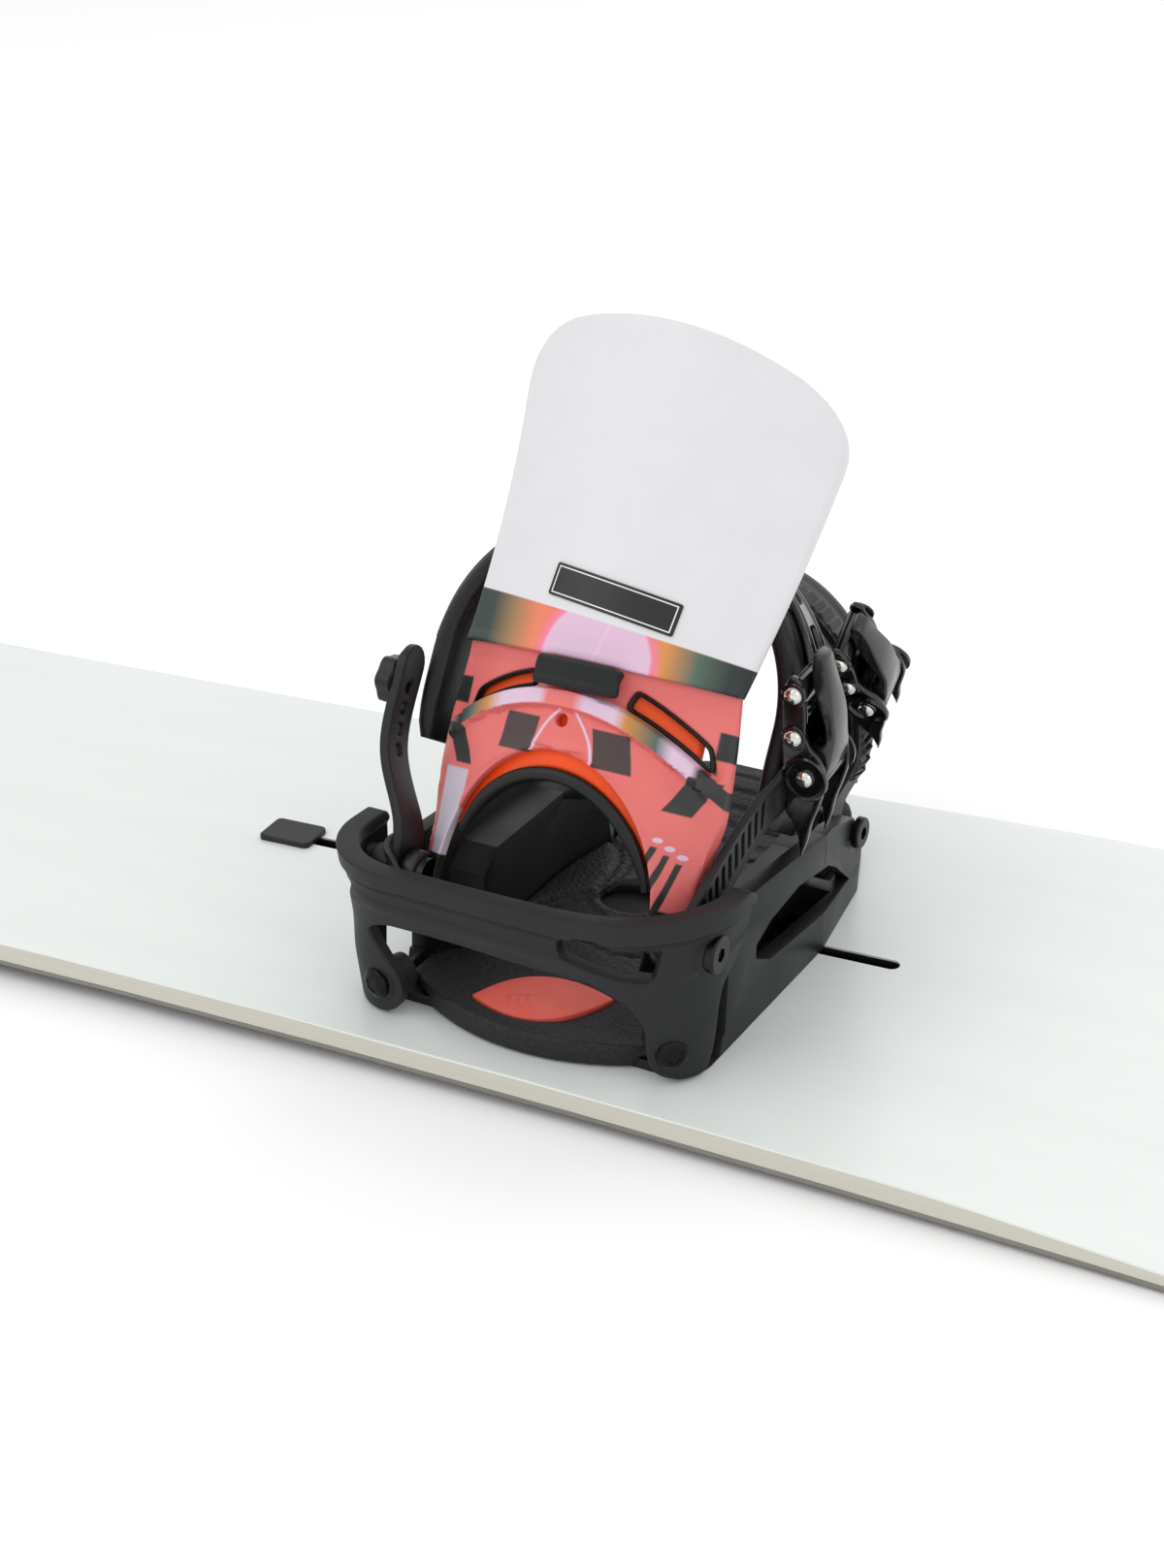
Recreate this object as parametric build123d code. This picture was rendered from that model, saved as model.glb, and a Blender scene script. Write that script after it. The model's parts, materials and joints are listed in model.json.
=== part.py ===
from build123d import *
import os
from math import asin, cos, degrees, radians, sin, sqrt, tan

# A cambered snowboard with a pair of channel-mounted strap bindings.
# Row frame: +X along the board to the right tip, +Y to the toe edge, +Z up.
# The origin is under the board's centre, on the plane that the board rests on.
# Each binding has its own frame: origin on the topsheet midway between its two channel screws,
# x to the outer (buckle) side, y to the toe, z up. The left binding mirrors the right one.

# ---- board ----
BOARD_LEN = 1560.0
CONTACT_X = 600.0          # where the base meets the snow at each end
WAIST = 250.0
SIDECUT_R = 8200.0
CAMBER = 6.3
NOSE_R = 360.0             # upturn radius of nose and tail
THICK_MID = 10.0
THICK_TIP = 5.6
TAPER_X = 445.0            # the core starts to thin here
TAPER_END = 560.0          # and has its tip thickness from here
BASE_T = 2.0
EDGE_W = 2.2
WALL_W = 6.0
TOP_T = 0.8

# ---- channel ----
STANCE = 620.0             # between the two binding centres
SLOT_IN = 140.0            # inner end of each slot, measured from the board's centre
SLOT_OUT = 410.0
SLOT_W = 7.2
RAIL_W = 20.0
RAIL_H = 7.0
RAIL_LIP = 2.0
CHAMBER_W = 13.0
MOUTH_LEN = 20.0           # wider mouth where nuts drop in, under the plug
MOUTH_W = 13.4
PLUG_LEN = 24.0
PLUG_W = 17.6
PLUG_T = 2.4

# ---- binding placement ----
YAW = -4.5                 # toe turned towards the tip, degrees
SEAT_GAP = 0.1             # keeps the flat floor off the crowned board

# ---- baseplate ----
HALF_W = 68.3
WALL_IN = 62.0             # inner face of the thin upper wall
BLOCK_IN = 46.5            # inner face of the screw pocket's block
WELL_IN = 49.3             # inner face of the pocket itself
FLOOR_T = 4.0
SCREW_X = 55.5
POCKET_ROOF = 38.0
REAR_Y = -104.0
TOE_Y = 112.0
WALL_END_Y = 56.0

# ---- strap and highback pivots ----
PIV_Y = -98.0
PIV_Z = 52.0
TOE_PIV_Y = 46.0
TOE_PIV_Z = 32.0
BOLT_R = 4.0
RUN_GAP = 0.06             # radial clearance of a running pivot
LUG_X = 57.8               # centre plane of the ankle strap lugs
TOE_LUG_X = 52.2
NUT_OUT = 48.8             # inner nuts of the ankle bolts reach out to here

# ---- heel hoop ----
HOOP_HALF = 67.0
HOOP_BACK = -117.0
HOOP_R_OUTER = 30.0        # corner radius on the buckle side
HOOP_R_INNER = 22.0
HOOP_FLARE = 6.5           # degrees
HOOP_T = 5.0
RIM_Z = 65.0
BOLT_SEAT = 70.2           # bolt heads sit in flats at this distance from the middle
HOOP_SCREW_Y = -92.0
HOOP_SCREW_Z = 13.0
HOOP_SCREW_R = 3.2

# ---- footbed ----
BED_TOP = 9.0
HEEL_R = 84.0
HEEL_Y = -117.0
RAMP_TOP = 17.0

# ---- highback ----
LEAN = 30.0                # forward lean at rest, degrees
BACK = 18.5                # back surface behind the pivot plane
R_LOW = 75.0               # plan radius of the back surface at the pivots
R_HIGH = 115.0             # and at the top edge
CONE_TOP = 222.0
SHELL_T = 3.4
FRAME_T = 3.6
PAD_T = 4.0
LEDGE_V = 89.0             # lower edge of the upper shell
ARM_HALF = 44.0            # half width of the opening between the highback's arms
ARM_TOP = 56.0             # and the height of its arch
HUB_R = 9.0                # round hub of each arm at the pivot

# ---- straps ----
STRAP_LEAN = 31.0          # the ankle strap's arch leans forward
PAD_SKEW = 0.41            # and is skewed in plan
PAD_RAKE = 0.6
ANKLE_ARCH = (5.0, 84.0, 65.0, 71.0)   # centre and half axes of the ankle strap's arch
ANKLE_PAD_T = 10.0
ANKLE_LEGS = (56.0, 50.0)  # heights at which its inner and outer legs end
ANKLE_EDGES = (-93.0, -48.0)
TOE_ARCH = (0.0, 62.0, 57.0, 62.0)
TOE_PAD_T = 7.0
TOE_LEGS = (64.0, 66.0)
TOE_EDGES = (34.0, 78.0)
STRAP_W = 18.0
STRAP_T = 3.4
TOE_STRAP_T = 3.2
LADDER_W = 17.0
TOE_LADDER_W = 15.0
LADDER_T = 2.8
RUNG_PITCH = 6.5
ANKLE_KNOB = (-79.0, -67.0, 113.0)
TOE_KNOB = (-64.2, 54.0, 70.0)

# ---- buckles ----
BUCKLE_W = 25.0
TOE_BUCKLE_W = 24.0
BUCKLE_LEN = 60.0
TOE_BUCKLE_LEN = 56.0
LEVER_REACH = 48.0
TOE_LEVER_REACH = 42.0
CHEEK_ROOM = 6.4           # the lever is narrower than its buckle by this much
PIN_X = 8.0                # lever pin, out from the strap
PIN_R = 1.6
PIN_HEAD_R = 3.4
RIVET_R = 4.0

# ---- fasteners ----
ANKLE_HEAD = (7.2, 3.2)    # head radius and thickness
TOE_HEAD = (6.5, 3.0)
HOOP_HEAD = (5.4, 3.0)
SCREW_HEAD = (5.8, 4.4)
SCREW_R = 3.0
ANKLE_NUT = (7.0, 2.6)
TOE_NUT = (6.5, 2.2)
TOE_BOLT_END = 66.8        # outer face of the toe bolt's head
TOE_TIP = 47.4             # inner end of the toe bolt
HOOP_SCREW_END = 72.4
WASHER_R = 9.0
WASHER_T = 2.0
NUT_LEN = 18.0
NUT_T = 3.0


def binding_frame(x):
    """Place of the right binding on the cambered topsheet."""
    tilt = degrees(asin(x / camber_radius()))
    z = base_z(x) + THICK_MID + SEAT_GAP
    return Location((x, 0, z)) * Location((0, 0, 0), (0, tilt, 0)) * Location((0, 0, 0), (0, 0, YAW))


def camber_radius():
    return (CONTACT_X ** 2 + CAMBER ** 2) / (2 * CAMBER)


def base_z(x):
    r = camber_radius()
    return CAMBER - r + sqrt(r * r - x * x)


# ------------------------------------------------------------------ board
def half_width(x, inset=0.0):
    return WAIST / 2 + x * x / (2 * SIDECUT_R) - inset


def outline(inset=0.0):
    """Plan outline of the board as a face, inset evenly from the real edge."""
    end = BOARD_LEN / 2 - inset
    wide = half_width(CONTACT_X, inset)
    slope = CONTACT_X / SIDECUT_R
    upper = ThreePointArc((-CONTACT_X, wide), (0, half_width(0, inset)), (CONTACT_X, wide))
    lower = ThreePointArc((-CONTACT_X, -wide), (0, -half_width(0, inset)), (CONTACT_X, -wide))
    ends = []
    for s in (1, -1):
        for t in (1, -1):
            ends.append(Spline((s * CONTACT_X, t * wide), (s * end, 0),
                               tangents=[(s, t * slope), (0, -t)], tangent_scalars=[0.9, 0.95]))
    return make_face([upper, lower] + ends)


def bottom_line(rise):
    """Underside of the board raised by a given amount, from tail to nose."""
    r = camber_radius()
    mid = ThreePointArc((-CONTACT_X, rise), (0, CAMBER + rise), (CONTACT_X, rise))
    return [nose_arc(-1, rise, NOSE_R), mid, nose_arc(1, rise, NOSE_R)]


def nose_arc(side, rise, radius):
    """Upturn that is tangent to the camber arc at the contact line."""
    a0 = -asin(CONTACT_X / camber_radius())
    cx = CONTACT_X - radius * sin(a0)
    cz = rise + radius * cos(a0)
    pts = []
    reach = BOARD_LEN / 2 + 4 - CONTACT_X
    for f in (0.0, 0.5, 1.0):
        x = CONTACT_X + f * reach
        pts.append((side * x, cz - sqrt(radius ** 2 - (x - cx) ** 2)))
    return ThreePointArc(*pts)


def top_line(drop):
    """Topsheet line: an even thickness underfoot, tapering to the tips."""
    lines = []
    for side in (-1, 1):
        knots = []
        for x, thick in ((TAPER_X, THICK_MID), (TAPER_END, THICK_TIP + 0.4), (CONTACT_X, THICK_TIP)):
            knots.append((side * x, base_z(x) + thick - drop))
        slopes = [(side, -x / camber_radius()) for x in (TAPER_X, CONTACT_X)]
        lines.append(Spline(*knots, tangents=slopes))
        lines.append(nose_arc(side, THICK_TIP - drop, NOSE_R))
    mid_end = base_z(TAPER_X) + THICK_MID - drop
    mid = ThreePointArc((-TAPER_X, mid_end), (0, CAMBER + THICK_MID - drop), (TAPER_X, mid_end))
    return [lines[1], lines[0], mid, lines[2], lines[3]]


def tips(lines):
    points = [v.center() for line in lines for v in line.vertices()]
    points.sort(key=lambda p: p.X)
    return points[0], points[-1]


def layer(low, high):
    """Slab between two side lines, wider than the board."""
    ends = [Line(a, b) for a, b in zip(tips(low), tips(high))]
    face = make_face(low + high + ends)
    return extrude(Plane.XZ * face, 170, both=True)


def prism(face, low=-5.0, high=80.0):
    return extrude(Location((0, 0, low)) * face, high - low)


def slot_face(x0, x1, width):
    mid = (x0 + x1) / 2
    return Location((mid, 0)) * SlotOverall(x1 - x0, width).face()


def both_sides(shape):
    return [shape, mirror(shape, about=Plane.YZ)]


def rail_block():
    start = SLOT_IN - MOUTH_LEN / 2 - 4
    end = SLOT_OUT + 5
    box = Location(((start + end) / 2, 0)) * Rectangle(end - start, RAIL_W)
    return prism(fillet(box.vertices(), 4))


def channel_cut():
    """What the nut and screw slide in: the slot and the wide mouth at its inner end."""
    slot = prism(slot_face(SLOT_IN, SLOT_OUT, SLOT_W), -5, 80)
    mouth = Location((SLOT_IN, 0)) * RectangleRounded(MOUTH_LEN, MOUTH_W, 2)
    return slot + prism(mouth)


def base_sheet():
    return layer(bottom_line(0), bottom_line(BASE_T)) & prism(outline(EDGE_W))


def steel_edge():
    ring = prism(outline()) - prism(outline(EDGE_W))
    return layer(bottom_line(0), bottom_line(BASE_T)) & ring


def core_layer():
    return layer(bottom_line(BASE_T), top_line(TOP_T))


def wood_core():
    core = core_layer() & prism(outline(WALL_W))
    pocket = layer(top_line(TOP_T + RAIL_H), top_line(TOP_T)) & rail_block()
    for p in both_sides(pocket):
        core = core - p
    return core


def sidewalls():
    return core_layer() & (prism(outline()) - prism(outline(WALL_W)))


def topsheet():
    sheet = layer(top_line(TOP_T), top_line(0)) & prism(outline())
    for c in both_sides(channel_cut()):
        sheet = sheet - c
    return sheet


def channel_rails():
    """Embedded rails: a lipped slot over a wider chamber for the nuts."""
    block = layer(top_line(TOP_T + RAIL_H), top_line(TOP_T)) & rail_block()
    chamber_box = Location(((SLOT_IN + SLOT_OUT) / 2, 0)) * Rectangle(SLOT_OUT - SLOT_IN, CHAMBER_W)
    chamber = layer(top_line(TOP_T + RAIL_H - 1), top_line(TOP_T + RAIL_LIP)) & prism(chamber_box)
    rail = block - chamber - (channel_cut() & layer(top_line(TOP_T + RAIL_H - 1), top_line(-5)))
    return both_sides(rail)


def channel_plug():
    """Soft tab that snaps into the mouth at the inner end of a channel."""
    cap = extrude(RectangleRounded(PLUG_LEN, PLUG_W, 2.5), PLUG_T)
    cap = fillet(cap.faces().sort_by(Axis.Z)[-1].edges(), 0.8)
    stem = extrude(RectangleRounded(MOUTH_LEN - 0.8, MOUTH_W - 0.8, 1.8), -5)
    tilt = degrees(asin(SLOT_IN / camber_radius()))
    place = Location((SLOT_IN, 0, base_z(SLOT_IN) + THICK_MID + 0.05), (0, tilt, 0))
    return place * (cap + stem)


# ------------------------------------------------------------------ baseplate
def plan_outline(grow=0.0):
    """Plan of the baseplate; grow is negative for the inside of the walls."""
    w = HALF_W + grow
    right = [(w - 8, REAR_Y), (w - 1.5, REAR_Y + 10), (w, -30), (w, 5), (w - 7.0, WALL_END_Y),
             (w - 18, 86), (w - 36, 105)]
    left = [(-x, y) for x, y in reversed(right)]
    face = make_face(Polyline(*right, (0, TOE_Y), *left, close=True))
    return fillet([v for v in face.vertices() if v.Y > -100 and abs(v.X) > 1], 14)


def side_face(points):
    """Face drawn in side view (y, z), to be extruded along x."""
    return Plane.YZ * make_face(Polyline(*points, close=True))


def side_prism(points, x0, x1):
    return Location((x0, 0, 0)) * extrude(side_face(points), x1 - x0)


WALL_SIDE = [(-104, 0), (-104, 6), (-80, 8), (-77, 58), (-36, 55), (12, 50), (44, 39),
             (WALL_END_Y, 27), (WALL_END_Y + 3, 0)]
CAP_SIDE = [(6, 60), (3, 39), (22, 31), (44, 13), (70, 12), (70, 60)]
WINDOW_SIDE = [(-44, 21), (-56, 27), (-56, 33), (-44, 38), (-20, 40.5), (8, 36), (20, 29), (42, 12.5)]


def side_walls():
    """Upstanding side walls with the inner block that carries the screw pocket."""
    shell = prism(plan_outline(), 0, 70) - prism(plan_outline(WALL_IN - HALF_W), FLOOR_T, 70)
    outer = shell & side_prism(WALL_SIDE, -80, 80)
    inner = prism(plan_outline(-1), 0, 70) - prism(plan_outline(BLOCK_IN - HALF_W), -1, 71)
    block_side = [(-66, 0), (-60, 34), (-50, 42), (14, 42), (34, 20), (38, 0)]
    return outer + (inner & side_prism(block_side, -80, 80))


def screw_pockets():
    """Windows in the outer wall that reach the channel screws."""
    window = side_prism(WINDOW_SIDE, WELL_IN, 80)
    well_side = [(-42, FLOOR_T), (-52, 24), (-50, 32), (-40, POCKET_ROOF), (4, 35), (26, 24), (26, FLOOR_T)]
    well = side_prism(well_side, WELL_IN, WALL_IN)
    slot = Location((SCREW_X, 0)) * Rotation(0, 0, 90) * SlotOverall(34, SLOT_W)
    return window + well + prism(slot, -1, 20)


def baseplate_blank():
    floor = prism(plan_outline(), 0, FLOOR_T)
    body = floor + side_walls()
    for cut in both_sides(screw_pockets()):
        body = body - cut
    centre = prism(make_face(Polyline((-34, -66), (34, -66), (34, 76), (-34, 76), close=True)), -1, 3)
    ribs = [Location((x, 5, 0)) * Box(3, 142, 8) for x in (-17, 0, 17)]
    for rib in ribs:
        centre = centre - rib
    return body - centre


def cap_region():
    return side_prism(CAP_SIDE, -80, 80)


def bolt_holes(y, z, radius):
    return Location((0, y, z)) * Rotation(0, 90, 0) * Cylinder(radius, 170)


def baseplate():
    body = baseplate_blank() - cap_region()
    return body - hoop_envelope() - bolt_holes(HOOP_SCREW_Y, HOOP_SCREW_Z, HOOP_SCREW_R)


def front_caps():
    caps = (baseplate_blank() & cap_region()) - bolt_holes(TOE_PIV_Y, TOE_PIV_Z, BOLT_R)
    return list(caps.solids())


# ------------------------------------------------------------------ heel hoop
def d_face(grow):
    """Plan of the hoop: straight sides and a rounded back, open to the toe."""
    w = HOOP_HALF + grow
    back = HOOP_BACK - grow
    face = make_face(Polyline((-w, back), (w, back), (w, -40), (-w, -40), close=True))
    for radius in (HOOP_R_OUTER, HOOP_R_INNER):
        side = 1 if radius == HOOP_R_OUTER else -1
        corner = [v for v in face.vertices() if abs(v.X - side * w) < 1e-6 and v.Y < -60]
        face = fillet(corner, radius + grow)
    return face


def flared(grow, low, high):
    """The hoop's plan grown upwards along its flare."""
    spread = sin(radians(HOOP_FLARE))
    sections = [Location((0, 0, z)) * d_face(grow + z * spread) for z in (low, high)]
    return loft(sections)


HOOP_SIDE = [(-150, RIM_Z + 2), (-150, 43), (-116, 40), (-104, 20), (-101, 0.4), (-84, 0.4),
             (-81, 10), (-81, 36), (-77.6, 44), (-77.6, RIM_Z - 4), (-84, RIM_Z), (-110, RIM_Z + 2)]


def hoop_envelope():
    """Room that the hoop takes out of the baseplate's rear corners."""
    solid = flared(0.2, -1, 72) - flared(-HOOP_T - 0.2, -1, 72)
    return solid & side_prism(HOOP_SIDE, -90, 90)


def heel_hoop():
    wall = flared(0, 0, 70) - flared(-HOOP_T, -1, 71)
    rim = (flared(2.4, RIM_Z - 9, 70) - flared(-HOOP_T - 1.5, RIM_Z - 10, 71))
    ledge = (flared(1.2, 42, 46) - flared(-HOOP_T, 41, 47))
    body = (wall + rim + ledge) & side_prism(HOOP_SIDE, -90, 90)
    window = Plane.XZ * (Location((36, 49)) * RectangleRounded(34, 13, 4))
    body = body - extrude(Location((0, -100, 0)) * window, 40)
    boss = Rotation(0, 90, 0) * Cylinder(9, 6.5)
    flat = Rotation(0, 90, 0) * Cylinder(7.8, 20)
    for s in (-1, 1):
        body = body + Location((s * 63.6, PIV_Y, PIV_Z)) * boss
        body = body - Location((s * (BOLT_SEAT + 10), PIV_Y, PIV_Z)) * flat
    body = body - bolt_holes(PIV_Y, PIV_Z, BOLT_R)
    return body - bolt_holes(HOOP_SCREW_Y, HOOP_SCREW_Z, HOOP_SCREW_R)


# ------------------------------------------------------------------ footbed
def footbed():
    """Moulded foam bed: round heel, waist between the pockets, ramped toe."""
    centre_y = HEEL_Y + HEEL_R
    heel_half = 56.0
    heel_y = centre_y - sqrt(HEEL_R ** 2 - heel_half ** 2)
    waist = BLOCK_IN - 1.2
    toe = 48.0
    right = [(heel_half, -80), (waist, -70), (waist, 4), (waist - 6, 40), (toe, 47), (toe, 84), (34, 103)]
    left = [(-x, y) for x, y in reversed(right)]
    heel = ThreePointArc((-heel_half, heel_y), (0, HEEL_Y), (heel_half, heel_y))
    side = Polyline((heel_half, heel_y), *right, (0, 110), *left, (-heel_half, heel_y))
    plan = prism(make_face([heel, side]), 0, 40)
    top = [(-125, 0.6), (-105, 0.6), (-104, FLOOR_T + 0.1), (115, FLOOR_T + 0.1), (115, RAMP_TOP),
           (96, RAMP_TOP), (52, BED_TOP), (-125, BED_TOP)]
    bed = plan & side_prism(top, -80, 80)
    big = Location((-9, -8)) * Circle(13)
    small = Location((-6, -33)) * Circle(5)
    bed = bed - prism(big, 6, 30) - prism(small, 6, 30)
    return bed - prism(lens_face(0.15), BED_TOP - 2, 30)


def lens_face(grow=0.0):
    """Leaf-shaped inlay in the heel of the footbed."""
    lower = ThreePointArc((-26, -103), (4, -106.5), (22, -81))
    upper = ThreePointArc((-26, -103), (-9, -79), (22, -81))
    face = make_face([lower, upper])
    return offset(face, grow) if grow else face


def heel_insert():
    return prism(lens_face(), BED_TOP - 1.9, BED_TOP + 0.3)


# ------------------------------------------------------------------ highback
def lean_plane():
    """x = u across, y = v up the highback, z = w out of its back."""
    a = radians(LEAN)
    return Plane(origin=(0, PIV_Y, PIV_Z), x_dir=(1, 0, 0), z_dir=(0, -cos(a), sin(a)))


def cone_layer(depth, thick, v0=-30.0, v1=CONE_TOP):
    """Curved layer whose back surface lies depth in front of the highback's back surface."""
    sections = []
    for v in (v0, v1):
        radius = R_LOW + (R_HIGH - R_LOW) * v / CONE_TOP
        outer = Circle(radius - depth)
        inner = Circle(radius - depth - thick)
        keep = Location((0, -radius)) * Rectangle(2 * radius, 2 * radius - 12)
        ring = (outer - inner) & keep
        at = Location((0, radius - BACK, v))
        sections.append(at * ring.face())
    upright = loft(sections)
    a = radians(LEAN)
    turn = Plane(origin=(0, PIV_Y, PIV_Z), x_dir=(1, 0, 0), z_dir=(0, sin(a), cos(a)))
    return turn.location * upright


def cut_out(face):
    """Prism through the highback from an outline in (u, v)."""
    return extrude(lean_plane().location * face, 60, both=True)


def shell_face():
    """Outline of the shell, slightly canted to the outer side, with two round upper corners."""
    low_left, high_left = (-55, LEDGE_V), (-56, 205)
    high_right, low_right = (73, 193), (57, LEDGE_V)
    left = ThreePointArc(low_left, (-50, 146), high_left)
    top = ThreePointArc(high_left, (5, 214), high_right)
    right = ThreePointArc(high_right, (66, 140), low_right)
    face = make_face([left, top, right, Line(low_right, low_left)])
    for corner_x, radius in ((high_left[0], 20), (high_right[0], 14)):
        corner = [v for v in face.vertices() if abs(v.X - corner_x) < 1e-3]
        face = fillet(corner, radius)
    return face


def highback_shell():
    return cone_layer(0, SHELL_T) & cut_out(shell_face())


def arch(half, height, cx=0.0, cy=0.0, low=-40.0):
    """Half ellipse on straight legs that end at a given height."""
    reach = cy + height - low
    bow = Location((cx, cy)) * Ellipse(half, height)
    legs = Location((cx, (cy + low) / 2)) * Rectangle(2 * half, cy - low)
    window = Location((cx, low + reach / 2)) * Rectangle(2 * half + 2, reach)
    return (bow & window) + legs


def frame_face():
    left = [(-50, -13), (-58, 6), (-58, 60), (-54, 100)]
    right = [(-u, v) for u, v in reversed(left)]
    return make_face(Polyline(*left, *right, close=True)) - arch(ARM_HALF, ARM_TOP)


def highback_frame():
    """Lower frame: arms to the pivots, a cross rib and two vent slots."""
    body = cone_layer(SHELL_T + 0.05, FRAME_T) & cut_out(frame_face())
    for u0, u1 in ((-44, -20), (22, 50)):
        vent = Location(((u0 + u1) / 2, 80)) * SlotOverall(u1 - u0, 7)
        body = body - cut_out(vent.face())
    rib_band = make_face([ThreePointArc((-57, 57), (0, 79), (57, 57)), Line((57, 57), (57, 49)),
                          ThreePointArc((57, 49), (0, 71), (-57, 49)), Line((-57, 49), (-57, 57))])
    rib = cone_layer(SHELL_T - 1.6, FRAME_T) & cut_out(rib_band)
    body = body + rib
    hole = Location((-1, 67)) * Circle(2.5)
    body = body - cut_out(hole)
    boss_out = LUG_X - 2.8
    boss_in = NUT_OUT + 0.3
    boss = Rotation(0, 90, 0) * Cylinder(HUB_R, boss_out - boss_in)
    nut_room = Location((0, PIV_Y, PIV_Z)) * Rotation(0, 90, 0) * Cylinder(HUB_R - 1, 2 * boss_in)
    body = body - nut_room
    for s in (-1, 1):
        body = body + Location((s * (boss_in + boss_out) / 2, PIV_Y, PIV_Z)) * boss
    near = Location((0, PIV_Y, PIV_Z)) * Box(200, 90, 120)
    between = Location((0, PIV_Y, PIV_Z)) * Box(2 * boss_out, 400, 400)
    body = (body & near & between) + (body - near)
    return body - bolt_holes(PIV_Y, PIV_Z, BOLT_R + RUN_GAP)


def highback_pad():
    face = make_face(Polyline((-46, 20), (-46, 112), (46, 112), (46, 20), close=True)) - arch(40, 50)
    return cone_layer(SHELL_T + FRAME_T + 0.1, PAD_T) & cut_out(face)


def pad_lip():
    face = arch(39.8, 49.8) - arch(36.5, 45.5)
    keep = Location((0, 60)) * Rectangle(100, 80)
    return cone_layer(SHELL_T + FRAME_T - 2, PAD_T + 4) & cut_out((face & keep).face())


def lean_block():
    """Forward-lean adjuster: a curved block on a key that slides down the frame."""
    outline_face = Location((3, 83.2)) * RectangleRounded(32, 10, 2)
    key_face = Location((3, 86)) * Rectangle(14, 3)
    block = cone_layer(-5.5, 7.0) & cut_out(outline_face)
    key = cone_layer(1, SHELL_T - 1.05) & cut_out(key_face)
    return block + key


def label_plate():
    """Blank label plate on the shell."""
    tag = Location((8, 113, 0)) * Rotation(0, 0, -7) * RectangleRounded(50, 12, 0.8)
    return cone_layer(-0.7, 0.65) & cut_out(tag)


# ------------------------------------------------------------------ straps
def arch_face(cx, cy, a, b, thick, left_low, right_low):
    """Band of an arch whose two legs end at different heights."""
    low = min(left_low, right_low)
    band = arch(a, b, cx, cy, low) - arch(a - thick, b - thick, cx, cy, low - 1)
    for side, end in ((-1, left_low), (1, right_low)):
        trim = Location((cx + side * a, end - 50)) * Rectangle(a, 100)
        band = band - trim
    return band


def skew_slab(rear, front, skew, lean):
    """Space between two parallel oblique planes y = c + skew*x + lean*z."""
    normal = Vector(-skew, 1, -lean).normalized()
    low = Plane(origin=(0, rear, 0), z_dir=normal)
    depth = (front - rear) / sqrt(1 + skew ** 2 + lean ** 2)
    return extrude(low.location * Rectangle(900, 900), depth)


def ankle_strap_pad():
    """Padded ankle strap: a leaning, skewed arch over the instep."""
    a = radians(STRAP_LEAN)
    plane = Plane(origin=(0, PIV_Y, PIV_Z), x_dir=(-1, 0, 0), z_dir=(0, cos(a), -sin(a)))
    face = arch_face(*ANKLE_ARCH, ANKLE_PAD_T, *ANKLE_LEGS)
    body = extrude(plane.location * face, 140)
    return body & skew_slab(*ANKLE_EDGES, PAD_SKEW, PAD_RAKE)


def strap_strip(start, end, across, width, thick, lead):
    """Flat strip from start to end, with a lead-in face at its start."""
    path = Vector(*end) - Vector(*start)
    along = path.normalized()
    normal = along.cross(Vector(*across)).normalized()
    plane = Plane(origin=start, x_dir=along, z_dir=normal)
    face = Location((path.length / 2, 0)) * Rectangle(path.length, width) + lead
    return extrude(plane.location * face, thick / 2, both=True)


def strap_route(points, across, width, thick):
    """Strips end to end along a route, with a round lug at the first point."""
    body = strap_strip(points[0], points[1], across, width, thick, Circle(width / 2))
    for first, last in zip(points[1:], points[2:]):
        body = body + strap_strip(first, last, across, width, thick, Rectangle(3, width))
    return body


def point_on(first, last, f):
    return tuple(a + f * (b - a) for a, b in zip(first, last))


def rung_holes(first, last, across, width, pitch):
    """Openings between the rungs of a ladder strap along one straight run."""
    span = Vector(*last) - Vector(*first)
    normal = span.cross(Vector(*across)).normalized()
    holes = []
    for i in range(int((span.length - 24) / pitch)):
        at = Vector(*first) + span.normalized() * (18 + i * pitch)
        plane = Plane(origin=at, x_dir=span.normalized(), z_dir=normal)
        holes.append(extrude(plane.location * Rectangle(pitch * 0.5, width * 0.6), 8, both=True))
    return holes


def ankle_side_strap():
    """Perforated strap from the inner pivot up the outside of the pad."""
    route = [(-LUG_X, PIV_Y, PIV_Z), (-LUG_X, -93, 67), (-72.4, -79, 92), (-73.2, -62, 122)]
    strip = strap_route(route, (0, 0.9, -0.43), STRAP_W, STRAP_T)
    for f in (0.15, 0.4, 0.65):
        at = point_on(route[2], route[3], f)
        strip = strip - Location(at) * Rotation(0, 90, 0) * Cylinder(2.4, 14)
    return strip - bolt_holes(PIV_Y, PIV_Z, BOLT_R + RUN_GAP)


def ankle_ladder():
    """Ratchet ladder from the outer pivot to the buckle."""
    across = (0, -0.35, 0.94)
    route = [(LUG_X, PIV_Y, PIV_Z), (60.2, -48, 76), (61.8, -28, 81), (61.8, -4, 87)]
    strip = strap_route(route, across, LADDER_W, LADDER_T)
    for hole in rung_holes(route[0], route[1], across, LADDER_W, RUNG_PITCH):
        strip = strip - hole
    return strip - bolt_holes(PIV_Y, PIV_Z, BOLT_R + RUN_GAP)


def ankle_buckle_place():
    return Location((63.6, -14, 90)) * Rotation(4, 0, 0)


def toe_buckle_place():
    return Location((60.8, 47, 98)) * Rotation(36, 0, 0)


def pin_hole(width, radius):
    return Location((PIN_X, 0, 0)) * Rotation(90, 0, 0) * Cylinder(radius, width)


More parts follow.
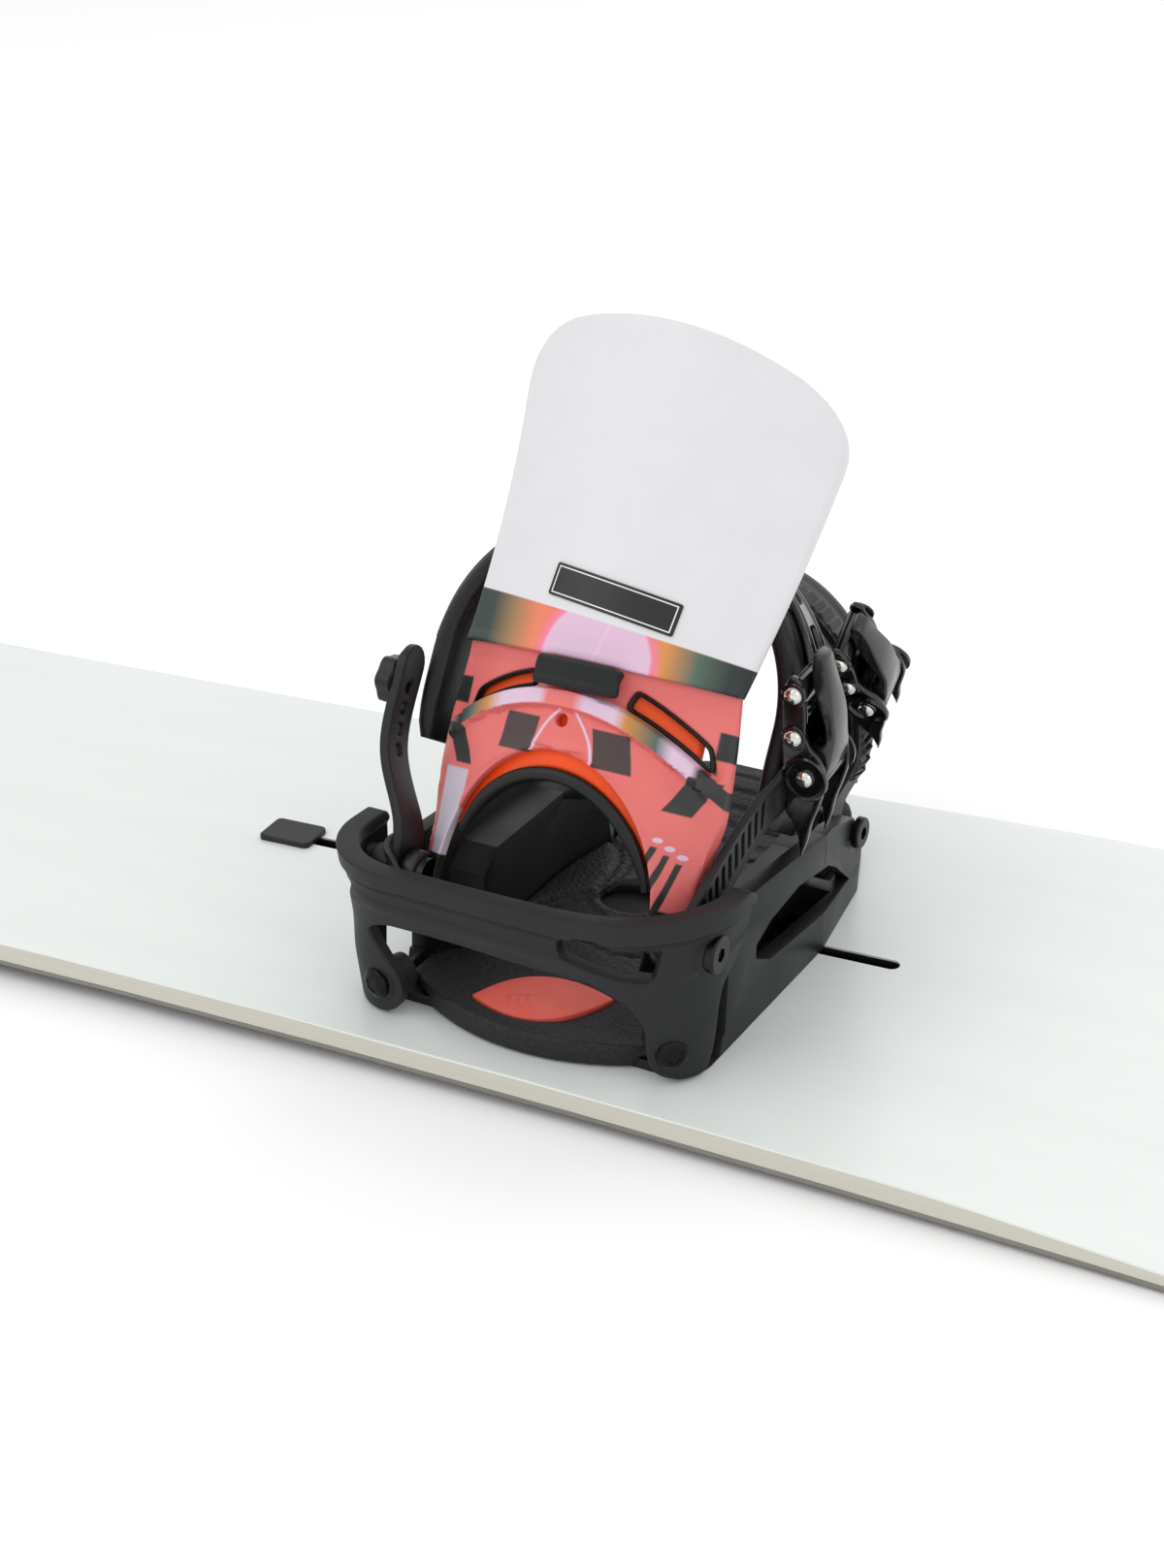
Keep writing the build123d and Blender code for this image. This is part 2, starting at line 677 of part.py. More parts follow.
def buckle_body(width, length):
    """Ratchet buckle frame: a base plate with two cheeks for the lever's pin."""
    plate = Location((1.5, 0, 2)) * Box(3, width, length)
    plate = fillet(plate.edges().filter_by(Axis.X), 4)
    outline_pts = [(2, 8), (PIN_X, 6), (PIN_X + 4.5, 1), (PIN_X + 3.5, -6), (PIN_X, -22), (2, -26)]
    cheek = Plane.XZ * make_face(Polyline(*outline_pts, close=True))
    body = plate
    for s in (-1, 1):
        body = body + Location((0, s * (width / 2 - 1.3), 0)) * extrude(cheek, 1.3, both=True)
    return body - pin_hole(width + 4, PIN_R)


def buckle_hardware(width, rivets):
    """Lever pin with heads, and domed rivets."""
    pin = pin_hole(width, PIN_R)
    for s in (-1, 1):
        head = Rotation(90, 0, 0) * Cylinder(PIN_HEAD_R, 1.2)
        pin = pin + Location((PIN_X, s * (width / 2 + 0.6), 0)) * head
    parts = [pin]
    for z in rivets:
        dome = Location((4.4, 0, z)) * Rotation(0, 90, 0) * Cylinder(RIVET_R, 2.8)
        parts.append(fillet(dome.edges().filter_by(GeomType.CIRCLE).sort_by(Axis.X)[-1], 2.4))
    return parts


def lever(width, reach):
    """Ratchet lever: a hub on the pin and a spoon-shaped handle, lying along the strap."""
    hub = pin_hole(width, 4.2)
    line = [(PIN_X - 2, 0), (PIN_X + 1.5, 14), (PIN_X + 2, reach * 0.6), (PIN_X + 7, reach),
            (PIN_X + 9.5, reach - 1.5), (PIN_X + 5.4, reach * 0.6), (PIN_X + 5, 12), (PIN_X + 4.2, 0)]
    handle = extrude(Plane.XZ * make_face(Polyline(*line, close=True)), width / 2, both=True)
    half = width / 2
    plan = side_face([(-half, -6), (half, -6), (half, 16), (half - 4, reach + 4),
                      (4 - half, reach + 4), (-half, 16)])
    handle = handle & extrude(plan, 40, both=True)
    return hub + handle - pin_hole(width + 4, PIN_R + RUN_GAP)


def adjuster_knob(radius, height):
    """Lobed tool-less adjuster knob with a screw centre."""
    knob = Cylinder(radius - 1.2, height)
    for i in range(6):
        lobe = Rotation(0, 0, 60 * i) * Location((radius - 3, 0, 0)) * Cylinder(3, height)
        knob = knob + lobe
    return knob


def ankle_hardware():
    place = ankle_buckle_place()
    parts = [place * p for p in buckle_hardware(BUCKLE_W, (18, 30))]
    knob = Location(ANKLE_KNOB) * Rotation(0, 90, 0) * adjuster_knob(9.5, 7)
    return parts + [knob]


def ankle_buckle():
    return ankle_buckle_place() * buckle_body(BUCKLE_W, BUCKLE_LEN)


def ankle_lever():
    return ankle_buckle_place() * lever(BUCKLE_W - CHEEK_ROOM, LEVER_REACH)


def toe_strap_pad():
    """Toe strap: a lower arch over the toes."""
    face = Plane.XZ * arch_face(*TOE_ARCH, TOE_PAD_T, *TOE_LEGS)
    body = extrude(face, 140, both=True)
    return body & skew_slab(*TOE_EDGES, 0.0, 0.1)


def toe_side_strap():
    route = [(-TOE_LUG_X, TOE_PIV_Y, TOE_PIV_Z), (-TOE_LUG_X, 48, 50), (-59.2, 54, 62), (-59.2, 55, 84)]
    strip = strap_route(route, (0, 1, 0), STRAP_W, TOE_STRAP_T)
    for f in (0.2, 0.6):
        at = point_on(route[2], route[3], f)
        strip = strip - Location(at) * Rotation(0, 90, 0) * Cylinder(2.2, 14)
    return strip - bolt_holes(TOE_PIV_Y, TOE_PIV_Z, BOLT_R + RUN_GAP)


def toe_ladder():
    route = [(TOE_LUG_X, TOE_PIV_Y, TOE_PIV_Z), (TOE_LUG_X + 0.6, 49, 41), (58.8, 60, 60), (58.8, 56, 86)]
    strip = strap_route(route, (0, 1, -0.3), TOE_LADDER_W, LADDER_T)
    return strip - bolt_holes(TOE_PIV_Y, TOE_PIV_Z, BOLT_R + RUN_GAP)


def toe_buckle():
    return toe_buckle_place() * buckle_body(TOE_BUCKLE_W, TOE_BUCKLE_LEN)


def toe_hardware():
    place = toe_buckle_place()
    parts = [place * p for p in buckle_hardware(TOE_BUCKLE_W, (15, 25))]
    knob = Location(TOE_KNOB) * Rotation(0, 90, 0) * adjuster_knob(8.5, 6)
    return parts + [knob]


def toe_lever():
    return toe_buckle_place() * lever(TOE_BUCKLE_W - CHEEK_ROOM, TOE_LEVER_REACH)


# ------------------------------------------------------------------ fasteners
def bolt(head_size, shank_r, length, socket_r):
    """Bolt along -x with its head's outer face at x = 0, hexagon socket in the head."""
    head_r, head_t = head_size
    head = Location((-head_t / 2, 0, 0)) * Rotation(0, 90, 0) * Cylinder(head_r, head_t)
    head = fillet(head.faces().sort_by(Axis.X)[-1].edges(), head_t * 0.3)
    shank = Location((-head_t - length / 2, 0, 0)) * Rotation(0, 90, 0) * Cylinder(shank_r, length)
    socket = Rotation(0, 90, 0) * extrude(RegularPolygon(socket_r, 6), head_t * 0.6, both=True)
    return head + shank - socket


def ankle_bolts():
    """Pivot bolts with a flanged nut on the inside."""
    nut_r, nut_t = ANKLE_NUT
    tip = NUT_OUT - nut_t
    screw = bolt(ANKLE_HEAD, BOLT_R - 0.02, BOLT_SEAT - tip, 2.8)
    screw = Location((BOLT_SEAT + ANKLE_HEAD[1], PIV_Y, PIV_Z)) * screw
    nut = Location((tip + nut_t / 2, PIV_Y, PIV_Z)) * Rotation(0, 90, 0) * Cylinder(nut_r, nut_t)
    return both_sides(screw + nut)


def toe_bolts():
    nut_r, nut_t = TOE_NUT
    length = TOE_BOLT_END - TOE_HEAD[1] - TOE_TIP
    screw = Location((TOE_BOLT_END, TOE_PIV_Y, TOE_PIV_Z)) * bolt(TOE_HEAD, BOLT_R, length, 2.8)
    nut = Rotation(0, 90, 0) * Cylinder(nut_r, nut_t)
    nut = Location((TOE_TIP + nut_t / 2 - 0.1, TOE_PIV_Y, TOE_PIV_Z)) * nut
    return both_sides(screw + nut)


def hoop_screws():
    screw = bolt(HOOP_HEAD, HOOP_SCREW_R, 12, 2.2)
    return both_sides(Location((HOOP_SCREW_END, HOOP_SCREW_Y, HOOP_SCREW_Z)) * screw)


def on_channel(shape, z, turn=0.0):
    """The two places, along each screw slot, that lie over the board's channel."""
    spots = []
    for s in (-1, 1):
        spots.append(Location((s * SCREW_X, -s * SCREW_X * tan(radians(YAW)), z), (0, 0, turn)) * shape)
    return spots


def channel_screws():
    screw = Rotation(0, -90, 0) * bolt(SCREW_HEAD, SCREW_R, 10.6, 2.6)
    return on_channel(screw, FLOOR_T + WASHER_T + 0.1 + SCREW_HEAD[1])


def channel_washers():
    ring = Cylinder(WASHER_R, WASHER_T) - Cylinder(SCREW_R + 0.2, 2 * WASHER_T)
    between_walls = Box(11.8, 2 * WASHER_R + 2, 2 * WASHER_T)
    return on_channel(ring & between_walls, FLOOR_T + WASHER_T / 2 + 0.05)


def channel_nuts():
    nut = RectangleRounded(NUT_LEN, CHAMBER_W - 0.8, 1.5)
    body = extrude(nut, NUT_T) - Cylinder(SCREW_R, 20)
    return on_channel(body, -TOP_T - RAIL_LIP - NUT_T - 0.6, -YAW)


# ------------------------------------------------------------------ assembly
BINDING_PARTS = {
    "baseplate": baseplate,
    "front_caps": front_caps,
    "footbed": footbed,
    "heel_insert": heel_insert,
    "heel_hoop": heel_hoop,
    "highback_shell": highback_shell,
    "highback_frame": highback_frame,
    "highback_pad": highback_pad,
    "highback_pad_lip": pad_lip,
    "highback_label": label_plate,
    "lean_block": lean_block,
    "ankle_strap_pad": ankle_strap_pad,
    "ankle_side_strap": ankle_side_strap,
    "ankle_ladder": ankle_ladder,
    "ankle_buckle": ankle_buckle,
    "ankle_hardware": ankle_hardware,
    "ankle_lever": ankle_lever,
    "toe_strap_pad": toe_strap_pad,
    "toe_side_strap": toe_side_strap,
    "toe_ladder": toe_ladder,
    "toe_buckle": toe_buckle,
    "toe_hardware": toe_hardware,
    "toe_lever": toe_lever,
}

FASTENERS = {
    "ankle_bolts": ankle_bolts,
    "toe_bolts": toe_bolts,
    "hoop_screws": hoop_screws,
    "channel_screws": channel_screws,
    "channel_washers": channel_washers,
    "channel_nuts": channel_nuts,
}

BOARD_PARTS = {
    "base_sheet": base_sheet,
    "steel_edge": steel_edge,
    "wood_core": wood_core,
    "sidewalls": sidewalls,
    "topsheet": topsheet,
    "channel_rails": channel_rails,
}


def solids_of(shape):
    items = shape if isinstance(shape, (list, tuple)) else [shape]
    found = []
    for item in items:
        found.extend(item.solids())
    return found


def write(name, solids):
    shape = solids[0] if len(solids) == 1 else Compound(children=list(solids))
    shape.label = name
    export_step(shape, "parts/" + name + ".step")


def main():
    os.makedirs("parts", exist_ok=True)
    for name, make in BOARD_PARTS.items():
        write(name, solids_of(make()))
    place = binding_frame(STANCE / 2)
    for name, make in BINDING_PARTS.items():
        right = [place * s for s in solids_of(make())]
        write(name + "_right", right)
        write(name + "_left", [mirror(s, about=Plane.YZ) for s in right])
    for name, make in FASTENERS.items():
        right = [place * s for s in solids_of(make())]
        write(name, right + [mirror(s, about=Plane.YZ) for s in right])
    plug = channel_plug()
    write("channel_plug_right", solids_of(plug))
    write("channel_plug_left", solids_of(mirror(plug, about=Plane.YZ)))


main()
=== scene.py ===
import json
from math import atan2, copysign, cos, dist, hypot, pi, radians, sin, sqrt, tan
import bmesh
import bpy
from mathutils import Matrix, Vector


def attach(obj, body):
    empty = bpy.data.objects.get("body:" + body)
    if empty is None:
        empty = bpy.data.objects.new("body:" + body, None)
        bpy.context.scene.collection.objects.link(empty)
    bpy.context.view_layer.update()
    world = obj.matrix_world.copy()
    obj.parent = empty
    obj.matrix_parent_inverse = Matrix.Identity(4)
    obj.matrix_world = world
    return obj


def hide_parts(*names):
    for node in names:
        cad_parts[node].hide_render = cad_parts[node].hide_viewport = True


# A cambered snowboard with two strap bindings. The right binding is built in its own frame
# (millimetres: x to the buckle side, y to the toe, z up from the topsheet) and mirrored to the left.
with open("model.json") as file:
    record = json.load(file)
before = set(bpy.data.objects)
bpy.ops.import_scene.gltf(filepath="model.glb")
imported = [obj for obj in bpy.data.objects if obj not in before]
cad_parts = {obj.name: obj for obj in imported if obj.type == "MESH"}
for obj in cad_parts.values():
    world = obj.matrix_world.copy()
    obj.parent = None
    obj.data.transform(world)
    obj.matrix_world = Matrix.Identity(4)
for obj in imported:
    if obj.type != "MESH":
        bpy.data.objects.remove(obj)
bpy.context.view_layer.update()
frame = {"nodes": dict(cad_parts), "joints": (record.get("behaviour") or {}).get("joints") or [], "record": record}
MM = 0.001
NODES = frame["nodes"]
JOINTS = {j["name"]: j for j in frame["joints"]}

# The two strap hinges in the binding's own frame. The CAD model's joints give their world places.
PIVOT = Vector((0, -98, 52))
TOE_PIVOT = Vector((0, 46, 32))


def binding_matrix():
    """World place of the right binding's frame, from its two strap hinges."""
    back, toe = JOINTS["highback_fold_right"], JOINTS["toe_strap_swing_right"]
    at, x = Vector(back["pos_m"]), Vector(back["axis"]).normalized()
    along = (Vector(toe["pos_m"]) - at).normalized()
    local = TOE_PIVOT - PIVOT
    turn = atan2(-local.z, local.y)
    y = cos(turn) * along + sin(turn) * x.cross(along)
    z = x.cross(y)
    turned = Matrix((x, y, z)).transposed()
    origin = at - turned @ (PIVOT * MM)
    return Matrix.Translation(origin) @ turned.to_4x4()


PLACE = binding_matrix()
MIRROR = Matrix.Scale(-1, 4, (1, 0, 0))


# =============================================================== materials
class Graph:
    """Short names for building one material's nodes."""

    def __init__(self, name):
        self.mat = bpy.data.materials.new(name)
        self.mat.use_nodes = True
        self.tree = self.mat.node_tree
        self.shader = self.tree.nodes["Principled BSDF"]
        self.coords = self.tree.nodes.new("ShaderNodeTexCoord").outputs["Object"]

    def new(self, kind, **props):
        node = self.tree.nodes.new(kind)
        for key, value in props.items():
            setattr(node, key, value)
        return node

    def put(self, socket, value):
        if isinstance(value, bpy.types.NodeSocket):
            self.tree.links.new(value, socket)
        elif value is not None:
            socket.default_value = value

    def fill(self, node, **values):
        """Sets inputs by name; From_Min stands for "From Min"."""
        for key, value in values.items():
            self.put(node.inputs[key.replace("_", " ")], value)
        return node

    def math(self, op, a, b=None, clamp=False):
        node = self.new("ShaderNodeMath", operation=op, use_clamp=clamp)
        for socket, value in zip(node.inputs, (a, b)):
            self.put(socket, value)
        return node.outputs[0]

    def add(self, a, b):
        return self.math("ADD", a, b)

    def sub(self, a, b):
        return self.math("SUBTRACT", a, b)

    def mul(self, a, b):
        return self.math("MULTIPLY", a, b)

    def size(self, a):
        return self.math("ABSOLUTE", a)

    def constant(self, name, value):
        """Fixed value of one of the shader's inputs."""
        self.shader.inputs[name].default_value = value

    def stretched(self, *scale):
        """Object coordinates scaled along each axis."""
        return self.fill(self.new("ShaderNodeMapping"), Vector=self.coords, Scale=scale).outputs[0]

    def dot(self, vector, constant):
        node = self.new("ShaderNodeVectorMath", operation="DOT_PRODUCT")
        self.put(node.inputs[0], vector)
        node.inputs[1].default_value = constant
        return node.outputs["Value"]

    def noise(self, scale, detail=2.0, rough=0.5, vector=None):
        node = self.new("ShaderNodeTexNoise")
        self.fill(node, Scale=scale, Detail=detail, Roughness=rough, Vector=vector or self.coords)
        return node.outputs["Fac"]

    def cells(self, scale):
        node = self.new("ShaderNodeTexVoronoi", feature="F1")
        self.fill(node, Scale=scale, Vector=self.coords)
        return node.outputs["Distance"]

    def step(self, value, low, high):
        """0 below low, 1 above high, smooth between."""
        node = self.new("ShaderNodeMapRange", interpolation_type="SMOOTHSTEP")
        return self.fill(node, Value=value, From_Min=low, From_Max=high).outputs["Result"]

    def between(self, value, low, high, soft=0.3):
        rise = self.step(value, low - soft, low + soft)
        fall = self.step(value, high - soft, high + soft)
        return self.math("SUBTRACT", rise, fall, clamp=True)

    def mix(self, factor, a, b):
        node = self.new("ShaderNodeMix", data_type="RGBA")
        self.put(node.inputs["Factor"], factor)
        self.put(node.inputs[6], a)
        self.put(node.inputs[7], b)
        return node.outputs[2]

    def ramp(self, value, stops):
        node = self.new("ShaderNodeValToRGB")
        elements = node.color_ramp.elements
        while len(elements) < len(stops):
            elements.new(0.5)
        for element, (place, colour) in zip(elements, stops):
            element.position = place
            element.color = colour
        self.put(node.inputs["Fac"], value)
        return node.outputs["Color"]

    def range(self, value, low, high, to_low, to_high):
        node = self.new("ShaderNodeMapRange")
        self.fill(node, Value=value, From_Min=low, From_Max=high, To_Min=to_low, To_Max=to_high)
        return node.outputs["Result"]

    def bump(self, height, strength, distance):
        node = self.fill(self.new("ShaderNodeBump"), Strength=strength, Distance=distance, Height=height)
        self.put(self.shader.inputs["Normal"], node.outputs["Normal"])

    def colour(self, value):
        self.put(self.shader.inputs["Base Color"], value)

    def roughness(self, value):
        self.put(self.shader.inputs["Roughness"], value)

    def folded(self):
        """Object coordinates with the left binding folded onto the right one."""
        split = self.new("ShaderNodeSeparateXYZ")
        self.put(split.inputs[0], self.coords)
        join = self.new("ShaderNodeCombineXYZ")
        self.put(join.inputs[0], self.size(split.outputs[0]))
        self.put(join.inputs[1], split.outputs[1])
        self.put(join.inputs[2], split.outputs[2])
        return join.outputs[0]

    def along(self, folded, origin, direction):
        """Distance in mm of the point from a local origin along a local direction."""
        world = PLACE.to_3x3() @ Vector(direction).normalized()
        start = PLACE @ (Vector(origin) * MM)
        value = self.sub(self.dot(folded, world), world.dot(start))
        return self.mul(value, 1000.0)


def rgb(r, g, b):
    """sRGB 0-255 to a linear colour."""
    linear = []
    for c in (r, g, b):
        c = c / 255
        linear.append(c / 12.92 if c <= 0.04045 else ((c + 0.055) / 1.055) ** 2.4)
    return (*linear, 1.0)


CORAL = rgb(226, 112, 108)
LILAC = rgb(214, 186, 208)
INK = rgb(38, 34, 34)
TEAL = rgb(72, 96, 88)
OCHRE = rgb(196, 132, 62)
BLACK = rgb(22, 24, 25)


def moulded(name, colour, rough=0.5, grain=900.0, grain_depth=0.12, mottling=0.25):
    """Moulded plastic: fine spark-eroded grain, faint mottling and rubbed high spots."""
    g = Graph(name)
    cloud = g.noise(35.0, 4.0)
    light = tuple(min(1.0, c * 1.5 + 0.004) for c in colour[:3]) + (1.0,)
    g.colour(g.mix(g.mul(cloud, mottling), colour, light))
    fine = g.noise(grain, 3.0, 0.6)
    g.roughness(g.range(cloud, 0.3, 0.7, rough - 0.06, rough + 0.08))
    g.bump(fine, grain_depth, 0.0004)
    g.constant("Specular IOR Level", 0.3)
    return g.mat


def leather_grain(name, colour, rough=0.55, scale=520.0, depth=0.5):
    """Foam or synthetic leather with a pebbled grain."""
    g = Graph(name)
    pebble = g.cells(scale)
    broad = g.noise(24.0, 3.0)
    dark = tuple(c * 0.6 for c in colour[:3]) + (1.0,)
    g.colour(g.mix(g.step(pebble, 0.2, 0.7), colour, dark))
    g.roughness(g.range(broad, 0.3, 0.7, rough - 0.05, rough + 0.1))
    both = g.add(pebble, g.mul(g.noise(scale * 3, 2.0), 0.35))
    g.bump(both, depth, 0.0006)
    g.constant("Specular IOR Level", 0.35)
    return g.mat


def glossy(name, colour, rough=0.16):
    """Glossy moulded plastic with a slight orange-peel and fine scuffs."""
    g = Graph(name)
    scuff = g.noise(300.0, 6.0, 0.75)
    g.colour(g.mix(g.step(scuff, 0.62, 0.8), colour, rgb(60, 62, 64)))
    g.roughness(g.range(scuff, 0.35, 0.8, rough, rough + 0.22))
    g.bump(g.noise(120.0, 2.0), 0.06, 0.0006)
    g.constant("Coat Weight", 0.4)
    g.constant("Coat Roughness", 0.08)
    return g.mat


def metal(name, colour, rough=0.18, brushed=0.0):
    """Metal with fine scratches; brushed stretches them along x."""
    g = Graph(name)
    vector = g.coords
    if brushed:
        vector = g.stretched(brushed, 1.0, 1.0)
    marks = g.noise(700.0, 5.0, 0.7, vector)
    dark = tuple(c * 0.75 for c in colour[:3]) + (1.0,)
    g.colour(g.mix(marks, colour, dark))
    g.roughness(g.range(marks, 0.3, 0.7, rough, rough + 0.15))
    g.bump(marks, 0.05, 0.0003)
    g.constant("Metallic", 1.0)
    return g.mat


def topsheet_material():
    """Satin white topsheet: faint lengthwise wash, tiny pigment specks and a thin clear coat."""
    g = Graph("topsheet")
    stretch = g.stretched(0.6, 6.0, 1.0)
    wash = g.noise(6.0, 4.0, 0.6, stretch)
    speck = g.noise(2400.0, 2.0)
    base = g.mix(wash, rgb(230, 234, 231), rgb(220, 225, 222))
    g.colour(g.mix(g.mul(g.step(speck, 0.62, 0.72), 0.3), base, rgb(200, 204, 202)))
    g.roughness(g.range(wash, 0.3, 0.7, 0.32, 0.42))
    g.bump(g.noise(1500.0, 2.0), 0.04, 0.0003)
    g.constant("Coat Weight", 0.25)
    g.constant("Coat Roughness", 0.2)
    return g.mat


def wood_material():
    """Vertical laminations of pale wood along the board."""
    g = Graph("wood_core")
    split = g.new("ShaderNodeSeparateXYZ")
    g.put(split.inputs[0], g.coords)
    strip = g.math("FRACT", g.mul(split.outputs[1], 50.0))
    grain = g.stretched(2.0, 90.0, 60.0)
    fibre = g.noise(14.0, 5.0, 0.6, grain)
    base = g.mix(fibre, rgb(214, 182, 132), rgb(176, 138, 90))
    g.colour(g.mix(g.between(strip, -0.02, 0.03, 0.02), base, rgb(120, 88, 54)))
    g.roughness(0.55)
    g.bump(fibre, 0.2, 0.0005)
    return g.mat


def base_material():
    """Sintered base: near black with a fine stone-ground structure along the board."""
    g = Graph("base_sheet")
    stretch = g.stretched(3.0, 900.0, 1.0)
    ground = g.noise(3.0, 3.0, 0.6, stretch)
    cloud = g.noise(9.0, 4.0)
    g.colour(g.mix(cloud, rgb(30, 31, 34), rgb(46, 47, 51)))
    g.roughness(g.range(ground, 0.3, 0.7, 0.28, 0.45))
    g.bump(ground, 0.25, 0.0002)
    return g.mat


def sidewall_material():
    """Sanded sidewall with fine lengthwise tool marks."""
    g = Graph("sidewalls")
    stretch = g.stretched(4.0, 40.0, 900.0)
    marks = g.noise(3.0, 4.0, 0.6, stretch)
    g.colour(g.mix(marks, rgb(208, 207, 195), rgb(186, 183, 168)))
    g.roughness(g.range(marks, 0.3, 0.7, 0.4, 0.6))
    g.bump(marks, 0.2, 0.0003)
    return g.mat


# =============================================================== pieces
def face_outwards(bm):
    bmesh.ops.recalc_face_normals(bm, faces=bm.faces)


def to_object(bm, name, matrix):
    """Mesh object whose vertices are placed in the world frame, with outward faces."""
    mesh = bpy.data.meshes.new(name)
    bm.to_mesh(mesh)
    mesh.transform(matrix)
    if matrix.to_3x3().determinant() < 0:
        mesh.flip_normals()
    mesh.update()
    obj = bpy.data.objects.new(name, mesh)
    bpy.context.scene.collection.objects.link(obj)
    return obj


def finish_mesh(obj, smooth_angle=35.0, bevel=0.0):
    """Rounded edges by a bevel, applied, then smooth shading by angle."""
    if bevel:
        mod = obj.modifiers.new("bevel", "BEVEL")
        mod.width = bevel * MM
        mod.segments = 2
        mod.limit_method = "ANGLE"
        mod.angle_limit = radians(32)
        mod.use_clamp_overlap = True
        bpy.context.view_layer.update()
        graph = bpy.context.evaluated_depsgraph_get()
        mesh = bpy.data.meshes.new_from_object(obj.evaluated_get(graph))
        obj.modifiers.clear()
        obj.data = mesh
    obj.data.shade_smooth()
    obj.data.set_sharp_from_angle(angle=radians(smooth_angle))
    return obj


def binding_piece(name, bm, body, material, slot, replaces=(), padded=None, **finish):
    """One piece of the right binding and its mirror image on the left."""
    made = []
    for side, matrix in (("right", PLACE), ("left", MIRROR @ PLACE)):
        obj = to_object(bm, name + "_" + side, matrix @ Matrix.Scale(MM, 4))
        finish_mesh(obj, **finish)
        obj.data.materials.clear()
        obj.data.materials.append(material)
        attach(obj, body if body == "board" else body + "_" + side)
        for node in replaces:
            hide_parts(node + "_" + side)
        made.append(obj)
    bm.free()
    return made


def copied_piece(name, node, body, material, slot, **finish):
    """A CAD node's shape with its edges rounded off, which stands for that node."""
    source = NODES[node].copy()
    source.data = NODES[node].data.copy()
    source.name = name
    source.parent = None
    for key in list(source.keys()):
        del source[key]
    bpy.context.scene.collection.objects.link(source)
    bm = bmesh.new()
    bm.from_mesh(source.data)
    bmesh.ops.remove_doubles(bm, verts=bm.verts, dist=1e-6)
    bmesh.ops.dissolve_limit(bm, angle_limit=radians(1.5), verts=bm.verts, edges=bm.edges)
    bm.to_mesh(source.data)
    bm.free()
    source.data.materials.clear()
    source.data.materials.append(material)
    finish_mesh(source, **finish)
    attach(source, body)
    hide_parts(node)
    return source


def outline_plate(loops, low, high, edge, step, profile_segments=2):
    """Plate with rounded edges: closed loops in its plane (the first is outside), low to high
    across it, cut into a grid so that it can be bent smoothly."""
    curve = bpy.data.curves.new("plate", "CURVE")
    curve.dimensions = "2D"
    curve.fill_mode = "BOTH"
    for loop in loops:
        spline = curve.splines.new("POLY")
        spline.points.add(len(loop) - 1)
        for point, (x, y) in zip(spline.points, loop):
            point.co = (x, y, 0, 1)
        spline.use_cyclic_u = True
    curve.extrude = (high - low) / 2 - edge
    curve.bevel_depth = edge
    curve.bevel_resolution = profile_segments
    curve.offset = -edge
    holder = bpy.data.objects.new("plate", curve)
    bpy.context.scene.collection.objects.link(holder)
    graph = bpy.context.evaluated_depsgraph_get()
    mesh = bpy.data.meshes.new_from_object(holder.evaluated_get(graph))
    bpy.data.objects.remove(holder)
    bm = bmesh.new()
    bm.from_mesh(mesh)
    bpy.data.meshes.remove(mesh)
    bmesh.ops.remove_doubles(bm, verts=bm.verts, dist=1e-4)
    bmesh.ops.translate(bm, verts=bm.verts, vec=(0, 0, (low + high) / 2))
    for axis in (0, 1):
        values = [v.co[axis] for v in bm.verts]
        count = int((max(values) - min(values)) / step)
        normal = [0, 0, 0]
        normal[axis] = 1
        for i in range(1, count + 1):
            place = [0, 0, 0]
            place[axis] = min(values) + i * step
            bmesh.ops.bisect_plane(bm, geom=bm.verts[:] + bm.edges[:] + bm.faces[:], dist=1e-5,
                                   plane_co=place, plane_no=normal)
    face_outwards(bm)
    return bm


def bend(bm, place):
    """Moves every vertex of a plate to place(a, b, depth)."""
    for v in bm.verts:
        v.co = place(*v.co)
    face_outwards(bm)
    return bm


def rounded_loop(points, radius, steps=6):
    """Closed polygon with each corner rounded; radius is one number or one per corner."""
    out = []
    count = len(points)
    for i, point in enumerate(points):
        r = radius[i] if isinstance(radius, (list, tuple)) else radius
        p = Vector(point)
        a = (Vector(points[i - 1]) - p)
        b = (Vector(points[(i + 1) % count]) - p)
        reach = min(r, a.length * 0.48, b.length * 0.48)
        start, end = p + a.normalized() * reach, p + b.normalized() * reach
        if r == 0:
            out.append(tuple(p))
            continue
        for k in range(steps + 1):
            t = k / steps
            q = start * (1 - t) ** 2 + p * 2 * t * (1 - t) + end * t ** 2
            out.append(tuple(q))
    return out


def smooth_path(points, per_span=8):
    """Catmull-Rom curve through the points."""
    pts = [Vector(p) for p in points]
    ext = [2 * pts[0] - pts[1]] + pts + [2 * pts[-1] - pts[-2]]
    out = []
    for i in range(1, len(ext) - 2):
        p0, p1, p2, p3 = ext[i - 1:i + 3]
        for k in range(per_span):
            t = k / per_span
            out.append(0.5 * ((2 * p1) + (p2 - p0) * t + (2 * p0 - 5 * p1 + 4 * p2 - p3) * t ** 2
                              + (3 * p1 - p0 - 3 * p2 + p3) * t ** 3))
    out.append(pts[-1])
    return out


def skin(bm, one, two):
    """Faces between two closed rings of vertices."""
    size = len(one)
    for k in range(size):
        bm.faces.new((one[k], one[(k + 1) % size], two[(k + 1) % size], two[k]))


